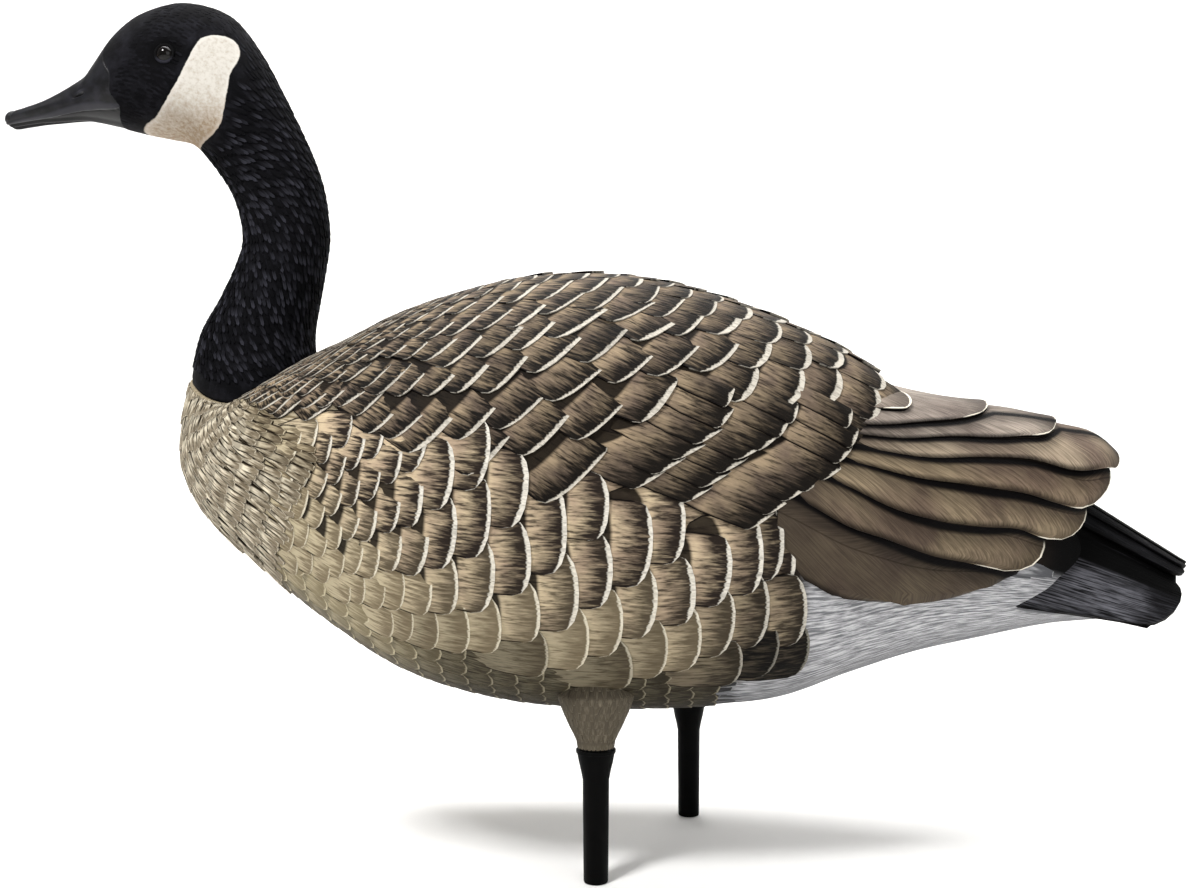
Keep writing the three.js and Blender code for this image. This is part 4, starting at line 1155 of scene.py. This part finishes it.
# Bill: bare, smooth and faintly glossy. The upper half overhangs the lower along the
# mouth line, with a slit nostril in a shallow hollow and a hard nail at the tip.
mouth_line = [(0.0, 0.85), (0.073, 0.858), (0.147, 0.864), (0.221, 0.829), (0.305, 0.824), (0.382, 0.812),
              (0.434, 0.797), (0.46, 0.765)]
lip_line = [(0.0, 0.76), (0.083, 0.762), (0.152, 0.747), (0.223, 0.707), (0.309, 0.725), (0.386, 0.749),
            (0.429, 0.764), (0.46, 0.75)]
bill_length = 0.47
nostril_ends = head_form([1 - 0.776, 1 - 0.659], [0.56, 0.63])
nostril_middle = nostril_ends.mean(0)
nostril_along = (nostril_ends[1] - nostril_ends[0]) / np.linalg.norm(nostril_ends[1] - nostril_ends[0])
knob = head_form([1 - 0.592], [0.51])[0]  # a low bump where the bill meets the forehead


def bill_relief(share, turn):
    """Millimetres in and out from the bill's form, how much painted highlight and wear each place has, and
    how much painted shade.
    """
    side = np.abs(turn)
    place = head_form(share, side)
    scale = np.linalg.norm(steps(head_form, share, side)[1], axis=-1) / mm
    below = (side - through(mouth_line, share)) * scale
    above_lip = (side - through(lip_line, share)) * scale
    rel = place - nostril_middle
    reach = rel @ nostril_along
    off = np.linalg.norm(rel - reach[..., None] * nostril_along, axis=-1) / mm
    upper_side = rel[..., 2] > reach * nostril_along[2]
    reach = reach / mm
    hollow = np.exp(-((reach / 8.5) ** 2 + (off / 3.8) ** 2) * 1.2)
    slit = 1 - ease((reach / 5.2) ** 2 + (off / 1.0) ** 2, 0.5, 1.3)
    rim = np.exp(-(((reach - 2.5) / 3.0) ** 2 + ((off - 2.0) / 0.8) ** 2)) * upper_side
    bump = np.exp(-(np.linalg.norm(place - knob, axis=-1) / (1.7 * mm)) ** 2)
    over_tip = 1 - ease(side, 0.62, 0.72)
    height = (
        -1.0 - 1.4 * ease(below, 0.0, 0.7) * (1 - ease(side, 0.93, 1.0))  # the lower half sits further in
        - 0.7 * np.exp(-((below - 0.5) / 0.7) ** 2)  # the groove along the mouth
        + 0.45 * ease(above_lip, -1.0, 0.8) * (1 - ease(below, -0.4, 0.2))  # the lip above it
        - 0.7 * hollow - 1.5 * slit + 0.6 * rim
        + 0.35 * ease(0.062 - share, -0.004, 0.004) * over_tip  # the nail
        - 0.5 * np.exp(-((share - 0.066) / 0.006) ** 2) * over_tip  # and the groove behind it
        + 1.0 * bump - 3.0 * ease(share - bill_edge(turn), 0.004, 0.014))  # its root runs in under the flock
    # lighter on the lip, the nostril's rim and the knob: painted highlights, partly wear
    worn = 0.65 * ease(above_lip, -1.2, 0.6) * (1 - ease(below, -1.0, -0.2)) * ease(share, 0.05, 0.12)
    worn = np.maximum(worn, np.maximum(0.8 * rim, 1.2 * bump))
    return height, np.clip(worn, 0, 1), np.maximum(0.85 * ease(below, -0.3, 0.5), slit)


def bill_skin(share, turn):
    """The bare bill with its relief, drawn in to a round tip."""
    share = bill_length * share
    height, _, _ = bill_relief(share, turn)
    _, _, out = steps(head_form, np.maximum(share, 0.006), turn)
    place = head_form(share, turn)
    round_tip = np.sqrt(np.clip(1 - (1 - np.clip(share / 0.05, 0, 1)) ** 2, 0, 1))
    middle = (head_form(share, 0 * turn) + head_form(share, 0 * turn + 1)) / 2
    place = middle + (place - middle) * (0.12 + 0.88 * round_tip)[..., None]
    return place + out * (height * mm * round_tip)[..., None]


bill_mesh = sheet("bill_skin", 150, 160, bill_skin)
share, turn = read(bill_mesh, "share") * bill_length, read(bill_mesh, "turn")
_, worn, shut = bill_relief(share, turn)
store(bill_mesh, worn=worn, shut=shut)

# Satin paint on smooth plastic, a little lighter on the lip, the nostril's rim and the knob
# with painted highlights, partly wear, and darker where painted shade lies.
bill_paint, shader = new_material("satin_black_bill_paint", 0.45, 0.18)
m = bill_paint
place = add(m, "TexCoord", {}, (), "Object")
# scuffs and shallow dents about 6 mm across
scuff = add(m, "TexNoise", {}, {"Vector": place, "Scale": 0.16 / mm, "Detail": 4.0, "Roughness": 0.6})
rubbed = add(m, "MapRange", {}, (scuff, 0.40, 0.70, 0.0, 1.0))
ground = add(m, "Mix", colours, {0: rubbed, 6: linear("#0a0a0c"), 7: linear("#1b1b20")}, 2)
wear_and_highlight_at, shut_at = (add(m, "Attribute", {"attribute_name": key}, (), 2) for key in ("worn", "shut"))
# painted highlights, partly wear, on the lip, the nostril's rim and the knob
ground = add(m, "Mix", colours, {0: wear_and_highlight_at, 6: ground, 7: linear("#2c2c32")}, 2)
# painted shade on the lower half under the overhang, in the mouth's groove and in the nostril's slit
ground = add(m, "Mix", colours, {0: shut_at, 6: ground, 7: linear("#050506")}, 2)
wire(m, ground, shader.inputs["Base Color"])
dents = add(m, "Bump", {}, {"Strength": 0.3, "Distance": 0.4 * mm, "Height": scuff})
wire(m, dents, shader.inputs["Normal"])
show(bill_mesh, bill_paint)

# Eyes: domes moulded in the head, painted dark brown and varnished, in a raised lid
# that catches grey paint along its lower edge.
eye_paint, shader = new_material("varnished_dark_brown_eye", 0.08, 0.18)
shader.inputs["Base Color"].default_value = linear("#050302")
shader.inputs["Coat Weight"].default_value = 0.08
shader.inputs["Coat Roughness"].default_value = 0.03
lid_paint, shader = new_material("dry_brushed_eyelid", 0.8, 0.06)
m = lid_paint
place = add(m, "TexCoord", {}, (), "Object")
level = add(m, "SeparateXYZ", {}, (place,), 2)
grey_to, grey_from = (float(eye_middle[2]) - drop * mm for drop in (4.5, 1.5))
lower = add(m, "MapRange", soft, (level, grey_to, grey_from, 1.0, 0.0))
rim = add(m, "Mix", colours, {0: lower, 6: linear("#050506"), 7: linear("#24242a")}, 2)
wire(m, rim, shader.inputs["Base Color"])
for side, sign in (("left", 1), ("right", -1)):
    flip = np.array([1, sign, 1])
    centre, out = eye_middle * flip, eye_out * flip
    aim = Vector(out).to_track_quat("Z", "Y").to_matrix().to_4x4()
    bm = bmesh.new()
    bmesh.ops.create_uvsphere(bm, u_segments=48, v_segments=24, radius=5.2 * mm)
    aim.translation = Vector(centre - out * 4.2 * mm)
    bmesh.ops.transform(bm, matrix=aim, verts=bm.verts)
    show(finished(bm, f"{side}_eye"), eye_paint)
    bm = bmesh.new()
    bmesh.ops.create_circle(bm, segments=14, radius=0.95 * mm)
    bmesh.ops.rotate(bm, matrix=Matrix.Rotation(math.pi / 2, 3, "X"), verts=bm.verts)
    bmesh.ops.translate(bm, vec=(4.9 * mm, 0, 0), verts=bm.verts)
    bmesh.ops.spin(bm, geom=bm.edges[:], cent=(0, 0, 0), axis=(0, 0, 1), angle=2 * math.pi,
                   steps=56, use_duplicate=False)
    bmesh.ops.remove_doubles(bm, verts=bm.verts, dist=0.01 * mm)
    bmesh.ops.recalc_face_normals(bm, faces=bm.faces)
    bmesh.ops.scale(bm, vec=(1.0, 1.0, 0.8), verts=bm.verts)
    aim.translation = Vector(centre - out * 1.9 * mm)
    bmesh.ops.transform(bm, matrix=aim, verts=bm.verts)
    show(finished(bm, f"{side}_eyelid"), lid_paint)

# Leg pegs: turned-looking moulded rods in black plastic, each flaring to a collar with
# a square lip under the thigh, and a hidden spigot above it.
peg_profile = [  # radius and height in millimetres
    (0, 0), (5.6, 0), (6.35, 0.3), (6.6, 1.0), (7.1, 55.0), (7.35, 56.2), (8.0, 59.5), (9.2, 64.5),
    (9.9, 68.2), (10.2, 69.5), (10.55, 69.55), (10.7, 69.7), (10.7, 71.2), (10.5, 71.45), (6.1, 71.5),
    (6.0, 71.6), (6.0, 88.5), (5.0, 89.5), (0, 89.5)]
# ABS as it comes from its mould: near black and satin, its sheen streaked lengthways.
leg_plastic, shader = new_material("black_abs_plastic", 0.38, 0.04)
m = leg_plastic
shader.inputs["Base Color"].default_value = linear("#030303")
place = add(m, "TexCoord", {}, (), "Object")
# the streaks are about 1 mm apart and 40 mm long
long_way = add(m, "VectorMath", times, (place, (0.9 / mm, 0.9 / mm, 0.025 / mm)))
draw = add(m, "TexNoise", {}, {"Vector": long_way, "Scale": 1.0, "Detail": 2.0})
gloss = add(m, "MapRange", {}, (draw, 0.3, 0.7, 0.42, 0.62))
wire(m, gloss, shader.inputs["Roughness"])
lines = add(m, "Bump", {}, {"Strength": 0.25, "Distance": 0.1 * mm, "Height": draw})
wire(m, lines, shader.inputs["Normal"])
for node, centre in (("left_leg", left_leg), ("right_leg", right_leg)):
    bm = bmesh.new()
    ring = [bm.verts.new((r * mm, 0, z * mm)) for r, z in peg_profile]
    edges = [bm.edges.new(pair) for pair in zip(ring, ring[1:])]
    bmesh.ops.spin(bm, geom=ring + edges, cent=(0, 0, 0), axis=(0, 0, 1), angle=2 * math.pi,
                   steps=48, use_duplicate=False)
    bmesh.ops.remove_doubles(bm, verts=bm.verts, dist=0.01 * mm)
    bmesh.ops.recalc_face_normals(bm, faces=bm.faces)
    bmesh.ops.translate(bm, vec=(centre[0], centre[1], 0), verts=bm.verts)
    show(finished(bm, node + "_peg"), leg_plastic, node, crisp=28)

# Camera at the photograph's angle: level, square to the left side.
camera = bpy.data.objects.new("camera", bpy.data.cameras.new("camera"))
camera.location = (-0.0273, -0.700, 0.219)
camera.rotation_euler = (math.radians(90), 0, 0)
camera.data.sensor_width = 36
camera.data.lens = 35.7
camera.data.shift_y = 0.0242
bpy.context.scene.collection.objects.link(camera)
bpy.context.scene.camera = camera

# Plain pale floor that sweeps up behind the decoy.
bend_at, bend_run, bend_radius = 0.9, 1.2, 0.9  # where the paper leaves the ground, and its curve
bm = bmesh.new()
bmesh.ops.create_grid(bm, x_segments=1, y_segments=60, size=3.0)
for vert in bm.verts:
    y = vert.co.y
    if y > bend_at:
        turn = min((y - bend_at) / bend_run, 1.0) * math.pi / 2
        vert.co.y = bend_at + bend_radius * math.sin(turn)
        vert.co.z = bend_radius * (1 - math.cos(turn)) + max(0.0, y - bend_at - bend_run) * 2
floor_mesh = finished(bm, "floor")
floor_mesh.polygons.foreach_set("use_smooth", np.ones(len(floor_mesh.polygons), bool))
floor = bpy.data.objects.new("floor", floor_mesh)
bpy.context.scene.collection.objects.link(floor)
floor_paint, shader = new_material("matt_white_paper", 0.9, 0.2)
shader.inputs["Base Color"].default_value = linear("#f4f3f1")
floor_mesh.materials.append(floor_paint)
floor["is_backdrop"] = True


def lamp(name, place, aim, size, watts):
    data = bpy.data.lights.new(name, "AREA")
    data.shape = "RECTANGLE"
    data.size, data.size_y = size
    data.energy = watts
    light = bpy.data.objects.new(name, data)
    light.location = place
    light.rotation_euler = (Vector(aim) - Vector(place)).to_track_quat("-Z", "Y").to_euler()
    bpy.context.scene.collection.objects.link(light)


lamp("key", (-0.75, -1.0, 1.55), (0, 0, 0.25), (0.35, 0.35), 34)
lamp("fill", (1.1, -1.5, 0.9), (0, 0, 0.25), (1.4, 1.4), 12)
lamp("top", (0.1, 0.2, 1.7), (0, 0, 0.2), (1.4, 0.9), 16)
lamp("backdrop", (0.0, 0.5, 1.9), (0, 1.8, 0.5), (2.0, 0.6), 44)
bpy.context.scene.view_settings.view_transform = "Standard"
world = bpy.data.worlds.new("studio")
world.use_nodes = True
world.node_tree.nodes["Background"].inputs["Color"].default_value = (1, 1, 1, 1)
world.node_tree.nodes["Background"].inputs["Strength"].default_value = 0.35
bpy.context.scene.world = world

plain = lambda box: [[float(c) for c in corner] for corner in box]
{"solids": plain(solids_box), "scene": plain(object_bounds())}
